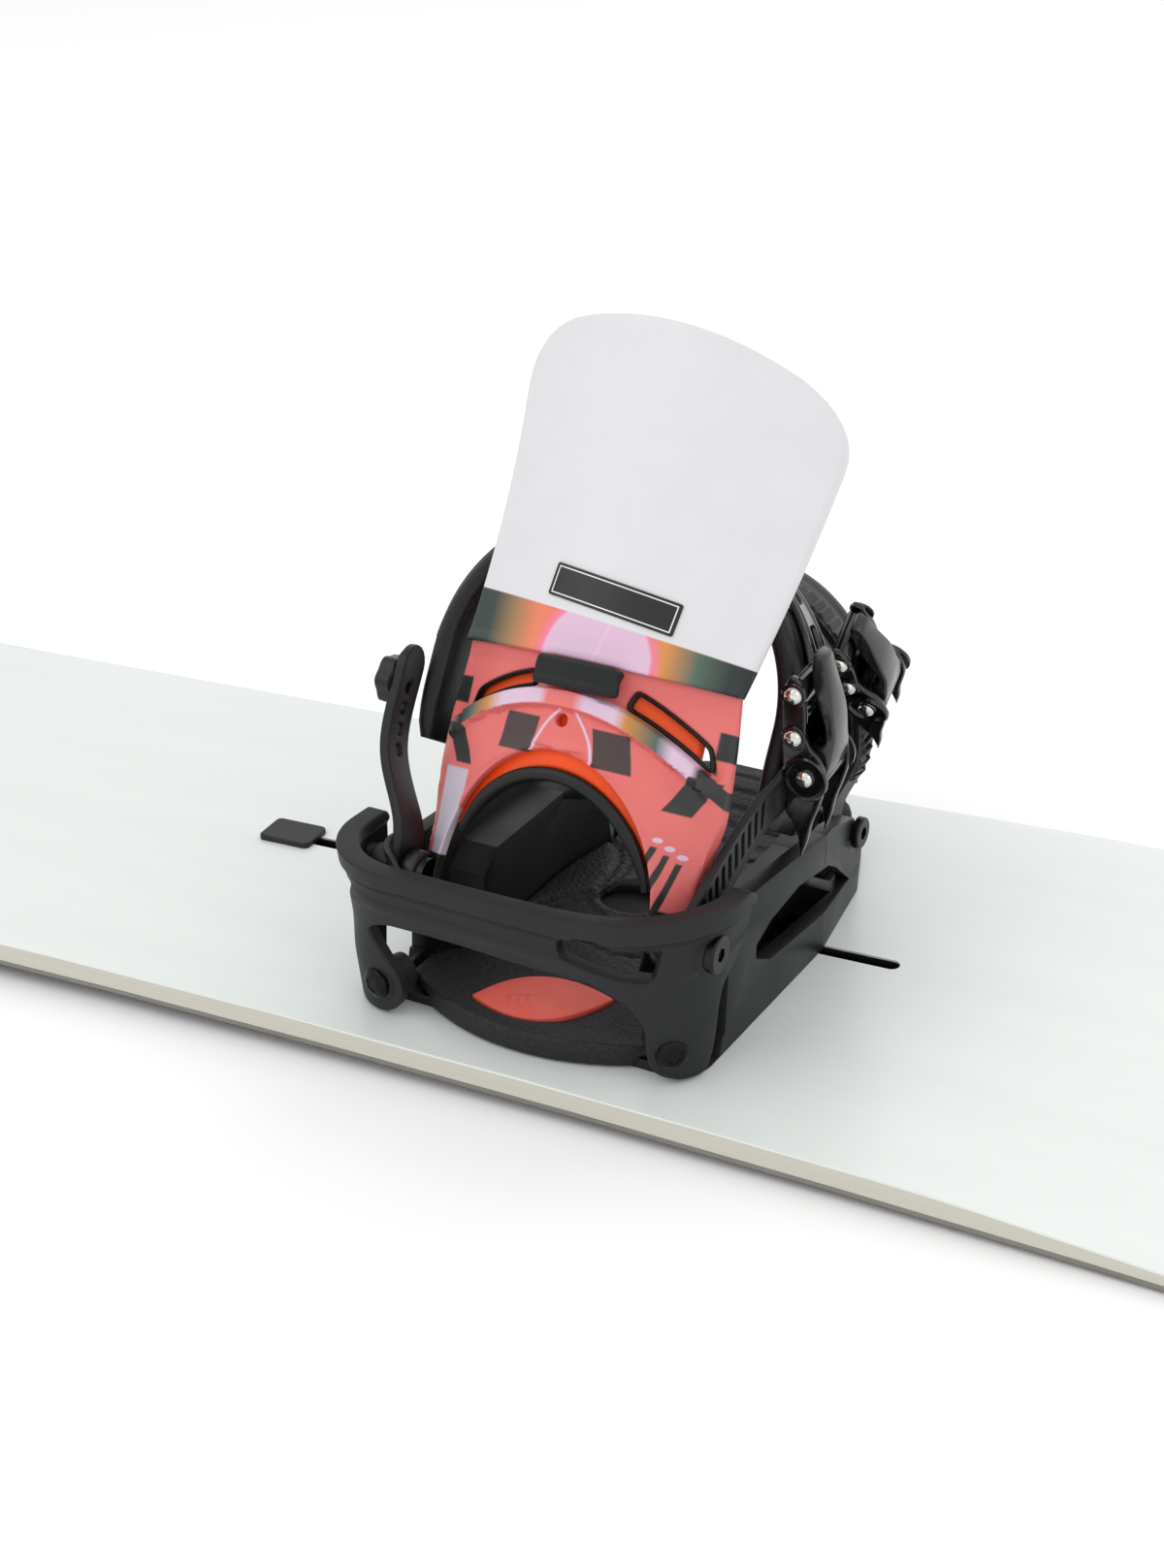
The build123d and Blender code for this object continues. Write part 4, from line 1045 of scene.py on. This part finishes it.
def heel_insert():
    bm = outline_plate([lens_loop(-0.1)], 7.2, 10.2, 0.5, 1.1, 2)

    def place(x, y, z):
        along = x * 0.9 + (y + 92) * 0.42
        across = -x * 0.42 + (y + 92) * 0.9
        span = 1 - smoothstep(abs(across + 2.5), 2.6, 3.4)
        bars = max((1 - smoothstep(abs(along + 13 - 3.4 * k), 0.8, 1.4)) * span for k in range(3))
        edge = 0.35 * (1 - smoothstep(hypot(x + 2, (y + 92) * 1.6), 14, 24))
        return Vector((x, y, z + (edge + 0.55 * bars if z > 9 else 0.0)))

    bend(bm, place)
    binding_piece("heel_insert_gel", bm, "board", gel_material(), "insert", ["heel_insert"], smooth_angle=40)


def gel_material():
    """Translucent soft inlay with cloudy depth and a satin skin."""
    g = Graph("gel")
    cloud = g.noise(70.0, 4.0)
    g.colour(g.mix(cloud, rgb(242, 104, 88), rgb(222, 84, 70)))
    g.roughness(g.range(g.noise(160.0, 3.0), 0.3, 0.7, 0.34, 0.5))
    g.bump(g.noise(700.0, 3.0), 0.12, 0.0004)
    g.constant("Subsurface Weight", 0.15)
    g.constant("Subsurface Radius", (0.004, 0.002, 0.001))
    return g.mat


# =============================================================== straps
class Track:
    """A strap's centre line with its width direction and outward side."""

    def __init__(self, points, across, outward, per_span=14):
        self.path = smooth_path(points, per_span)
        self.across = Vector(across)
        self.outward = Vector(outward)
        self.lengths = [0.0]
        for a, b in zip(self.path, self.path[1:]):
            self.lengths.append(self.lengths[-1] + (b - a).length)
        self.total = self.lengths[-1]

    def frame_at(self, t):
        last = len(self.path) - 2
        i = 0
        while i < last and self.lengths[i + 1] < t:
            i += 1
        a, b = self.path[i], self.path[i + 1]
        here = a + (b - a) * ((t - self.lengths[i]) / max(1e-6, self.lengths[i + 1] - self.lengths[i]))
        lo, hi = self.path[max(0, i - 2)], self.path[min(len(self.path) - 1, i + 3)]
        along = (hi - lo).normalized()
        side = (self.across - along * self.across.dot(along)).normalized()
        out = along.cross(side)
        if out.dot(self.outward) < 0:
            out = -out
        return here, along, side, out

    def place(self, t, w, d):
        clamped = min(max(t, 0.0), self.total)
        here, along, side, out = self.frame_at(clamped)
        return here + along * (t - clamped) + side * w + out * d


def strap_plate(track, half, thick, edge, step, holes=(), relief=None, ends=(0.0, 0.0), taper=None):
    """Strap along a track with round ends, openings and relief on its outer face."""
    start, stop = -ends[0], track.total + ends[1]
    count = 40
    top, low = [], []
    for k in range(count + 1):
        t = start + half * 0.9 + (stop - start - half * 1.8) * k / count
        h = half * (taper(t) if taper else 1.0)
        top.append((t, h))
        low.append((t, -h))
    left = [(start + half * 0.9 - half * 0.9 * sin(pi * k / 10),
             -half * cos(pi * k / 10) * (taper(start) if taper else 1.0))
            for k in range(1, 10)]
    right = [(stop - half * 0.9 + half * 0.9 * sin(pi * k / 10),
              half * cos(pi * k / 10) * (taper(stop) if taper else 1.0))
             for k in range(1, 10)]
    bm = outline_plate([left + top + right + list(reversed(low))] + list(holes), -thick / 2, thick / 2,
                       edge, step, 2)

    def place(t, w, d):
        rise = relief(t, w) if relief and d > 0 else 0.0
        return track.place(t, w, d + rise)

    return bend(bm, place)


def slanted_slot(t, width, half, slant):
    """Parallelogram opening across a ladder strap."""
    return rounded_loop([(t - width / 2 - slant, -half), (t + width / 2 - slant, -half),
                         (t + width / 2 + slant, half), (t - width / 2 + slant, half)], 0.8, 2)


ANKLE_LEAN = radians(31)
ANKLE_CENTRE = (7, 84)                # of the strap's arch, above the hinge
PAD_SKEW, PAD_RAKE = 0.41, 0.6
PAD_REAR, PAD_FRONT = -93, -50      # oblique planes that end the ankle pad


def ankle_depth(x, height, start):
    """Coordinate along the leaned pad's own axis of the skewed plane that starts at start."""
    s, c = sin(ANKLE_LEAN), cos(ANKLE_LEAN)
    return (start + PAD_SKEW * x + PAD_RAKE * (52 + height * c) + 98 - height * s) / (c + PAD_RAKE * s)


def ankle_point(x, height, depth):
    s, c = sin(ANKLE_LEAN), cos(ANKLE_LEAN)
    return PIVOT + Vector((x, 0, 0)) + Vector((0, s, c)) * height + Vector((0, c, -s)) * depth


def pad_rings(bm, rings):
    made = [[bm.verts.new(p) for p in ring] for ring in rings]
    for one, two in zip(made, made[1:]):
        skin(bm, one, two)
    bm.faces.new(list(reversed(made[0])))
    bm.faces.new(made[-1])
    face_outwards(bm)


def arch_stations(cx, cy, a, b, left_low, right_low, count):
    """Points of an arch's outer line with outward normals, left foot to right foot."""
    points = []
    if left_low < cy:
        for k in range(6):
            points.append(((cx - a, left_low + (cy - left_low) * k / 6), (-1.0, 0.0)))
    for k in range(count + 1):
        t = pi * (1 - k / count)
        x, y = a * cos(t), b * sin(t)
        n = Vector((cos(t) / a, sin(t) / b)).normalized()
        points.append(((cx + x, cy + y), (n.x, n.y)))
    if right_low < cy:
        for k in range(1, 7):
            points.append(((cx + a, cy - (cy - right_low) * k / 6), (1.0, 0.0)))
    return points


def padded_arch(stations, thick, edges, place, quilt):
    """Soft pad along an arch, rounded on every edge, with relief on its outer face."""
    bm = bmesh.new()
    rings = []
    total = len(stations) - 1
    for i, ((x, y), (nx, ny)) in enumerate(stations):
        f = i / total
        end = min(i, total - i)
        shrink = sqrt(max(0.02, 1 - max(0.0, 1 - end / 4.0) ** 2))
        ring = []
        count = 44
        for k in range(count):
            a = 2 * pi * k / count
            across = copysign(abs(cos(a)) ** 0.45, cos(a))
            rise = copysign(abs(sin(a)) ** 0.55, sin(a))
            level = -thick / 2 + rise * thick / 2 * (0.55 + 0.45 * shrink)
            if rise > 0:
                level += quilt(f, across) * shrink
            p = (x + nx * level, y + ny * level)
            near, far = edges(*p)
            mid, half = (near + far) / 2, (far - near) / 2
            ring.append(place(p[0], p[1], mid + across * half * (0.72 + 0.28 * shrink)))
        rings.append(ring)
    pad_rings(bm, rings)
    return bm


def ankle_pad():
    """Foam ankle strap: smooth rolled borders and a quilted middle."""
    stations = arch_stations(*ANKLE_CENTRE, 67, 71, 48, 50, 64)

    def edges(x, height):
        return ankle_depth(-x, height, PAD_REAR), ankle_depth(-x, height, PAD_FRONT)

    def place(x, height, depth):
        return ankle_point(-x, height, depth)

    def quilt(f, across):
        middle = 1 - smoothstep(abs(across), 0.62, 0.74)
        channel = 1 - smoothstep(abs(abs(across) - 0.66), 0.02, 0.06)
        ribs = 0.7 * abs(sin(f * 34.0)) ** 0.5
        return -1.1 * channel + middle * (ribs - 0.5)

    bm = padded_arch(stations, 10.0, edges, place, quilt)
    binding_piece("ankle_pad_foam", bm, "ankle_strap",
                  leather_grain("ankle_pad", rgb(22, 23, 26), 0.32, 900.0, 0.12), "strap",
                  ["ankle_strap_pad"], padded=0.8, smooth_angle=60)


def ankle_plate():
    """Glossy moulded plate over the ankle pad with openings."""
    stations = arch_stations(*ANKLE_CENTRE, 68.2, 72.2, 84, 84, 96)
    spans = [0.0]
    for (a, _), (b, _) in zip(stations, stations[1:]):
        spans.append(spans[-1] + hypot(b[0] - a[0], b[1] - a[1]))
    total = spans[-1]
    half_widths = [(4, 0.56), (28, 0.72), (80, 0.42), (total - 30, 0.62), (total - 2, 0.5)]
    outer = [(s, -w) for s, w in half_widths] + half_widths[::-1]
    outer = rounded_loop(outer, 0, 4)
    scale = 22.0
    loop = rounded_loop([(s, w * scale) for s, w in outer], [8, 16, 40, 16, 6, 6, 16, 40, 16, 8], 6)
    holes = [rounded_loop([(s, -5.5), (s + 9, -5.5), (s + 11.5, 5.5), (s + 2.5, 5.5)], 2.2, 3)
             for s in range(34, 143, 18)]
    bm = outline_plate([loop] + holes, 0.0, 2.2, 0.7, 3.0, 2)

    def place(s, w, d):
        s = min(max(s, 0.0), total - 1e-3)
        i = 0
        while spans[i + 1] < s:
            i += 1
        f = (s - spans[i]) / (spans[i + 1] - spans[i])
        x = stations[i][0][0] * (1 - f) + stations[i + 1][0][0] * f
        y = stations[i][0][1] * (1 - f) + stations[i + 1][0][1] * f
        n = Vector((stations[i][1][0] * (1 - f) + stations[i + 1][1][0] * f,
                    stations[i][1][1] * (1 - f) + stations[i + 1][1][1] * f))
        ridge = 0.6 * (1 - smoothstep(abs(abs(w) - 9.5), 0.5, 1.6)) if d > 1 else 0.0
        px, py = x + n.x * (d - 0.6 + ridge), y + n.y * (d - 0.6 + ridge)
        near, far = ankle_depth(-px, py, PAD_REAR), ankle_depth(-px, py, PAD_FRONT)
        return ankle_point(-px, py, (near + far) / 2 + w * 0.75)

    bend(bm, place)
    binding_piece("ankle_plate", bm, "ankle_strap", glossy("strap_gloss", rgb(12, 12, 14), 0.16), "strap",
                  smooth_angle=45)


def toe_pad():
    """Toe strap: thinner foam with a deep central groove."""
    stations = arch_stations(0, 62, 57, 62, 64, 66, 60)

    def edges(x, height):
        return 34 + 0.1 * height, 78 + 0.1 * height

    def place(x, height, depth):
        return Vector((x, depth, height))

    def quilt(f, across):
        centre = 1 - smoothstep(abs(across), 0.1, 0.2)
        channel = 1 - smoothstep(abs(abs(across) - 0.7), 0.02, 0.06)
        ribs = 0.6 * abs(sin(f * 40.0 + across * 3)) ** 0.5
        return -1.4 * centre - 0.9 * channel + (1 - smoothstep(abs(across), 0.58, 0.68)) * (ribs - 0.4)

    bm = padded_arch(stations, 7.0, edges, place, quilt)
    binding_piece("toe_pad_foam", bm, "toe_strap",
                  leather_grain("toe_pad", rgb(24, 25, 27), 0.36, 900.0, 0.14), "strap",
                  ["toe_strap_pad"], padded=0.8, smooth_angle=60)


def side_strap(name, body, points, across, half, thick, spots, replaces):
    """Perforated strap with a reinforced lug and raised borders."""
    track = Track(points, across, (-1, 0, 0))
    holes = [circle_loop(t, 0, 2.2, 2.2, 14) for t in spots]

    def relief(t, w):
        outer = 1 - smoothstep(abs(w), half - 0.9, half - 0.4)
        border = 0.6 * smoothstep(abs(w), half - 3.0, half - 2.2) * outer
        gusset = 1.2 * (1 - smoothstep(t, 12, 24)) * (1 - smoothstep(abs(w), 1.0, 3.4))
        rings = sum(0.5 * (1 - smoothstep(abs(hypot(t - c, w) - 3.4), 0.3, 0.9)) for c in spots)
        return border + gusset + rings

    bm = strap_plate(track, half, thick, 0.8, 1.9, holes, relief, (half, 4.0),
                     lambda t: 1.0 - 0.16 * smoothstep(t, 6, 30))
    binding_piece(name, bm, body, moulded(name, rgb(24, 25, 27), 0.36), "strap", replaces, smooth_angle=42)


def ankle_ladder():
    """Ladder with slanted open rungs on its lower run and saw teeth under the buckle."""
    track = Track([(57.8, -98, 52), (60.2, -48, 76), (61.8, -28, 81), (61.8, -4, 87)], (0, -0.35, 0.94),
                  (1, 0, 0))
    holes = [slanted_slot(15 + 5.3 * k, 2.3, 5.0, 1.9) for k in range(10)]

    def relief(t, w):
        border = 0.5 * smoothstep(abs(w), 6.3, 6.9)
        teeth = 0.9 * ((t % 4.2) / 4.2) * (1 - smoothstep(abs(w), 4.6, 5.4)) if t > 70 else 0.0
        return border + teeth

    bm = strap_plate(track, 8.4, 2.8, 0.5, 1.4, holes, relief, (8.4, 3.0),
                     lambda t: 1.0 - 0.12 * smoothstep(t, 40, 70))
    binding_piece("ankle_ladder_teeth", bm, "ankle_strap", moulded("ladder", rgb(27, 28, 29), 0.4),
                  "ladder", ["ankle_ladder"], smooth_angle=40)


def toe_ladder():
    """Saw-toothed ladder up through the toe buckle, with its tail over the toe pad."""
    track = Track([(52.2, 46, 32), (53.4, 49, 42), (58.8, 59, 60), (58.8, 56, 86), (53, 54, 105),
                   (38, 54, 121), (20, 55, 128)],
                  (0, 1, -0.1), (1, 0, 0.3))
    holes = [slanted_slot(24 + 5.2 * k, 2.2, 4.2, 1.6) for k in range(4)]

    def relief(t, w):
        return 1.5 * ((t % 4.4) / 4.4) * (1 - smoothstep(abs(w), 5.2, 6.0)) if t > 20 else 0.0

    bm = strap_plate(track, 7.5, 2.8, 0.5, 1.3, holes, relief, (7.5, 3.0))
    binding_piece("toe_ladder_teeth", bm, "toe_strap", moulded("toe_ladder", rgb(27, 28, 29), 0.4),
                  "ladder", ["toe_ladder"], smooth_angle=38)


# =============================================================== buckles
def buckle_matrix(centre, tilt):
    """Frame of a buckle: x out of the strap, y across it, z up along it."""
    return Matrix.Translation(Vector(centre)) @ Matrix.Rotation(radians(tilt), 4, "X")


ANKLE_BUCKLE = buckle_matrix((63.6, -14, 90), 4)
TOE_BUCKLE = buckle_matrix((60.8, 47, 98), 36)
PIN_X = 8.0
ANKLE_W, TOE_W, TOE_SIZE = 25.0, 24.0, 0.92    # buckle widths, and the toe buckle's scale


def side_profile(bm, profile, y0, y1, edge, step=2.0, narrow=None):
    """Solid from a side profile (x, z), between y0 and y1; narrow(z) scales its width."""
    plate = outline_plate([profile], y0, y1, edge, step, 2)
    offset = {}
    for v in plate.verts:
        x, z, y = v.co
        scale = narrow(z) if narrow else 1.0
        offset[v.index] = bm.verts.new((x, y * scale, z))
    for f in plate.faces:
        bm.faces.new([offset[v.index] for v in f.verts])
    plate.free()


CHEEK = [(-1.2, 0), (-0.4, -14), (5.2, -24), (6.2, -34.5), (8.6, -28), (10.0, -20), (13.0, -12),
         (15.4, -4), (15.4, 4), (13.0, 9.5), (9.4, 12.5), (7.6, 18), (8.0, 24), (7.4, 31),
         (5.6, 39.5), (1.5, 41), (-1.0, 34)]
CHEEK_R = [3, 3, 4, 1.0, 5, 6, 5, 5, 5, 5, 4, 4, 4, 5, 3, 3, 4]


def buckle_frame(name, body, place, width, replaces, size=1.0):
    """Frame: a base plate and two cheeks with a raised ring round the hub and a pointed tail."""
    bm = bmesh.new()
    half = width / 2
    cheek = rounded_loop([(x, z * size) for x, z in CHEEK], CHEEK_R, 5)
    for s in (-1, 1):
        y0, y1 = sorted((s * half, s * (half - 2.6)))
        side_profile(bm, cheek, y0, y1, 0.6, 2.5)
        ring = [(9.0, -0.4), (9.0, 0.9), (8.4, 1.5), (7.0, 1.5), (6.4, 0.4), (5.0, 0.2)]
        lathe(bm, (PIN_X, s * half, 0), (0, s, 0), ring, 36)
        for z in (16.0, 33.5):
            lathe(bm, (3.4, s * half, z * size), (0, s, 0),
                  [(4.9, -0.3), (4.9, 0.5), (4.4, 0.9), (3.6, 0.9)], 24)
    plate = rounded_loop([(-1.4, -17 * size), (-1.4, 35 * size), (1.6, 38 * size), (2.4, 30 * size),
                          (1.8, 4), (2.6, -12), (4.8, -19 * size), (1.6, -21 * size)],
                         [2, 3, 2, 4, 6, 6, 2, 2], 4)
    side_profile(bm, plate, -half + 2.2, half - 2.2, 0.5, 3.0)
    bridge = rounded_loop([(1.8, 26 * size), (1.8, 38 * size), (5.4, 38.5 * size), (6.8, 31 * size),
                           (5.0, 26 * size)], [1, 2, 2, 2, 1], 4)
    side_profile(bm, bridge, -half + 2.2, half - 2.2, 0.8, 3.0)
    for z in (18, 21, 24):
        tooth = rounded_loop([(1.6, z * size), (1.6, (z + 2.2) * size), (3.4, (z + 0.4) * size)], 0.3, 2)
        side_profile(bm, tooth, -half + 4.5, half - 4.5, 0.2, 6.0)
    bmesh.ops.transform(bm, matrix=place, verts=bm.verts)
    face_outwards(bm)
    binding_piece(name, bm, body, glossy(name, rgb(9, 9, 11), 0.12), "buckle", replaces, smooth_angle=38)


LEVER = [(PIN_X + x, z) for x, z in
         ((5.4, -3.2), (7.8, 4), (8.8, 14), (8.2, 24), (5.6, 36), (3.2, 46), (-0.6, 47.5),
          (-2.0, 43), (-0.6, 33), (4.6, 20), (5.0, 12), (1.0, 9.5))]
LEVER_R = [4, 5, 8, 8, 6, 3, 2.5, 3, 8, 6, 4, 3]


def lever(name, body, place, width, replaces, size=1.0):
    """Spoon-shaped lever with a toothed cam on its pin."""
    bm = bmesh.new()
    half = width / 2 - 3.3
    handle = rounded_loop([(x, z * size) for x, z in LEVER], LEVER_R, 5)
    side_profile(bm, handle, -half, half, 1.1, 2.0,
                 lambda z: (1.0 - 0.3 * smoothstep(z, 4, 16 * size)
                            - 0.26 * smoothstep(z, 22 * size, 42 * size)))
    cam = []
    for k in range(36):
        a = 2 * pi * k / 36
        r = 6.6 + (0.7 if k % 4 < 2 and cos(a) < 0.3 else 0.0)
        cam.append((PIN_X + r * cos(a), r * sin(a)))
    side_profile(bm, cam, -half + 0.4, half - 0.4, 0.3, 4.0)
    bmesh.ops.transform(bm, matrix=place, verts=bm.verts)
    face_outwards(bm)
    binding_piece(name, bm, body, lever_material(name), "buckle", replaces, smooth_angle=40)


def lever_material(name):
    """Satin black handle with lighter rubbed high spots and fine scratches."""
    g = Graph(name)
    stretch = g.stretched(1.0, 1.0, 0.12)
    scratch = g.noise(900.0, 3.0, 0.6, stretch)
    cloud = g.noise(50.0, 3.0)
    g.colour(g.mix(cloud, rgb(15, 15, 17), rgb(34, 34, 36)))
    g.roughness(g.range(scratch, 0.3, 0.7, 0.2, 0.34))
    g.bump(scratch, 0.05, 0.0003)
    g.constant("Coat Weight", 0.4)
    g.constant("Coat Roughness", 0.12)
    return g.mat


def dome(bm, centre, axis, radius, height):
    steps = 7
    profile = [(radius, -0.8), (radius, 0.0)]
    for k in range(1, steps):
        a = pi / 2 * k / steps
        profile.append((radius * cos(a), height * sin(a)))
    profile.append((radius * 0.08, height))
    lathe(bm, centre, axis, profile, 28)


def buckle_rivets(name, body, place, width, replaces, knob, knob_r, knob_t, size=1.0):
    """Polished dome rivets on both cheeks, the pin heads, and the lobed adjuster knob."""
    bm = bmesh.new()
    half = width / 2
    for s in (-1, 1):
        dome(bm, (PIN_X, s * (half + 0.4), 0), (0, s, 0), 3.5, 2.4)
        for z in (16.0, 33.5):
            dome(bm, (3.4, s * (half + 0.8), z * size), (0, s, 0), 3.5, 2.5)
    lathe(bm, (PIN_X, 0, 0), (0, 1, 0),
          [(1.58, -half), (1.62, -half + 0.5), (1.62, half - 0.5), (1.58, half)], 20)
    bmesh.ops.transform(bm, matrix=place, verts=bm.verts)
    face_outwards(bm)
    binding_piece(name, bm, body, metal(name, rgb(232, 230, 226), 0.09, 0.02), "chrome", replaces,
                  smooth_angle=50)
    grip = bmesh.new()
    r, t = knob_r, knob_t
    profile = [(r * 0.5, t / 2), (r * 0.82, t / 2), (r * 0.92, t / 2 - 0.7), (r * 0.94, 0),
               (r * 0.92, -t / 2 + 0.7), (r * 0.82, -t / 2), (r * 0.55, -t / 2),
               (r * 0.5, -t / 2 + 0.9), (r * 0.22, -t / 2 + 0.9), (r * 0.18, -t / 2 + 0.2)]
    lathe(grip, knob, (-1, 0, 0), [(a, -h) for a, h in profile], 72, 0.06, 6)
    face_outwards(grip)
    binding_piece(name + "_knob", grip, body, moulded(name + "_knob", rgb(26, 26, 28), 0.32), "buckle",
                  smooth_angle=38)


# =============================================================== stage
def studio():
    """Pale floor that runs up to nothing, and soft light from above, left and right."""
    bm = bmesh.new()
    bmesh.ops.create_grid(bm, x_segments=2, y_segments=2, size=60.0)
    floor = to_object(bm, "floor", Matrix.Translation((0, 0, -0.0005)))
    bm.free()
    g = Graph("floor")
    g.colour(g.mix(g.noise(2.0, 3.0), rgb(252, 252, 252), rgb(250, 250, 251)))
    g.roughness(0.85)
    g.bump(g.noise(300.0, 2.0), 0.02, 0.0005)
    floor.data.materials.append(g.mat)
    world = bpy.data.worlds.new("studio")
    bpy.context.scene.world = world
    world.use_nodes = True
    background = world.node_tree.nodes["Background"]
    background.inputs["Color"].default_value = (1.0, 1.0, 1.0, 1.0)
    background.inputs["Strength"].default_value = 0.95
    for name, place, size, power in (("key", (-0.9, -1.3, 1.9), 1.6, 9.0),
                                     ("fill", (2.0, -1.2, 1.2), 1.4, 4.0),
                                     ("rim", (0.6, 1.6, 1.6), 1.8, 7.0)):
        lamp = bpy.data.lights.new(name, "AREA")
        lamp.size = size
        lamp.energy = power
        holder = bpy.data.objects.new(name, lamp)
        bpy.context.scene.collection.objects.link(holder)
        holder.location = place
        aim = Vector((0.3, 0, 0.08)) - Vector(place)
        holder.rotation_euler = aim.to_track_quat("-Z", "Y").to_euler()


def camera():
    """The photo's view: from behind the right binding and above the heel edge."""
    azimuth, elevation, roll = (radians(a) for a in (24.689, 26.259, -0.846))
    target = PLACE @ Vector((0, 0, 0))
    target = Vector((target.x - 0.0778, 0.09527, target.z))
    distance = 1.10363
    back = Vector((sin(azimuth) * cos(elevation), -cos(azimuth) * cos(elevation), sin(elevation)))
    right = (-back).cross(Vector((0, 0, 1))).normalized()
    up = right.cross(-back)
    right, up = right * cos(roll) + up * sin(roll), up * cos(roll) - right * sin(roll)
    turn = Matrix((right, up, back)).transposed().to_4x4()
    lens = bpy.data.cameras.new("camera")
    lens.sensor_fit = "VERTICAL"
    lens.sensor_height = 36.0
    lens.lens = 57.0
    lens.clip_start = 0.01
    lens.clip_end = 200.0
    holder = bpy.data.objects.new("camera", lens)
    bpy.context.scene.collection.objects.link(holder)
    holder.matrix_world = Matrix.Translation(target + back * distance) @ turn
    bpy.context.scene.camera = holder
    bpy.context.scene.view_settings.view_transform = "Standard"


# =============================================================== assembly
def paint_cad():
    """Materials for the CAD nodes that keep their own shape, by the record's slots."""
    paints = {
        "topsheet": topsheet_material(), "base_black": base_material(), "sidewall": sidewall_material(),
        "wood": wood_material(), "edge_steel": metal("steel_edge", rgb(150, 146, 140), 0.25, 0.05),
        "rail": moulded("rails", rgb(24, 24, 24), 0.5), "screw": metal("bolts", rgb(52, 52, 55), 0.28),
        "plug": moulded("plug", rgb(34, 34, 36), 0.45),
    }
    for part in frame["record"]["subparts"]:
        if part["material_slot"] in paints:
            materials = NODES[part["node"]].data.materials
            materials.clear()
            materials.append(paints[part["material_slot"]])


paint_cad()
highback_shell()
highback_frame()
highback_pad()
highback_lip()
window_seals()
highback_label()
lean_block()
heel_hoop()
foot_screws()
hoop_liner()
footbed()
heel_insert()
ankle_pad()
ankle_plate()
toe_pad()
side_strap("ankle_side_straps", "ankle_strap",
           [(-57.8, -98, 52), (-58.4, -92, 68), (-72.0, -79, 92), (-73.2, -62, 122)],
           (0, 0.9, -0.43), 9.0, 3.4, (46, 54, 62, 70), ["ankle_side_strap"])
side_strap("toe_side_straps", "toe_strap",
           [(-52.2, 46, 32), (-52.6, 48.5, 48), (-59.2, 54, 62), (-59.2, 55, 84)],
           (0, 1, 0), 9.0, 3.2, (36, 44), ["toe_side_strap"])
ankle_ladder()
toe_ladder()
buckle_frame("ankle_buckle_frame", "ankle_strap", ANKLE_BUCKLE, ANKLE_W, ["ankle_buckle"])
buckle_frame("toe_buckle_frame", "toe_strap", TOE_BUCKLE, TOE_W, ["toe_buckle"], TOE_SIZE)
lever("ankle_lever_spoon", "ankle_lever", ANKLE_BUCKLE, ANKLE_W, ["ankle_lever"])
lever("toe_lever_spoon", "toe_lever", TOE_BUCKLE, TOE_W, ["toe_lever"], TOE_SIZE)
buckle_rivets("ankle_rivets", "ankle_strap", ANKLE_BUCKLE, ANKLE_W, ["ankle_hardware"], (-79, -67, 113),
              9.5, 7.0)
buckle_rivets("toe_rivets", "toe_strap", TOE_BUCKLE, TOE_W, ["toe_hardware"], (-64.2, 54, 70), 8.5, 6.0,
              TOE_SIZE)
nylon = moulded("nylon", BLACK, 0.42)
for side in ("right", "left"):
    for node in ("baseplate", "front_caps"):
        copied_piece(node + "_round_" + side, node + "_" + side, "board", nylon, "nylon", bevel=0.7)
studio()
camera()
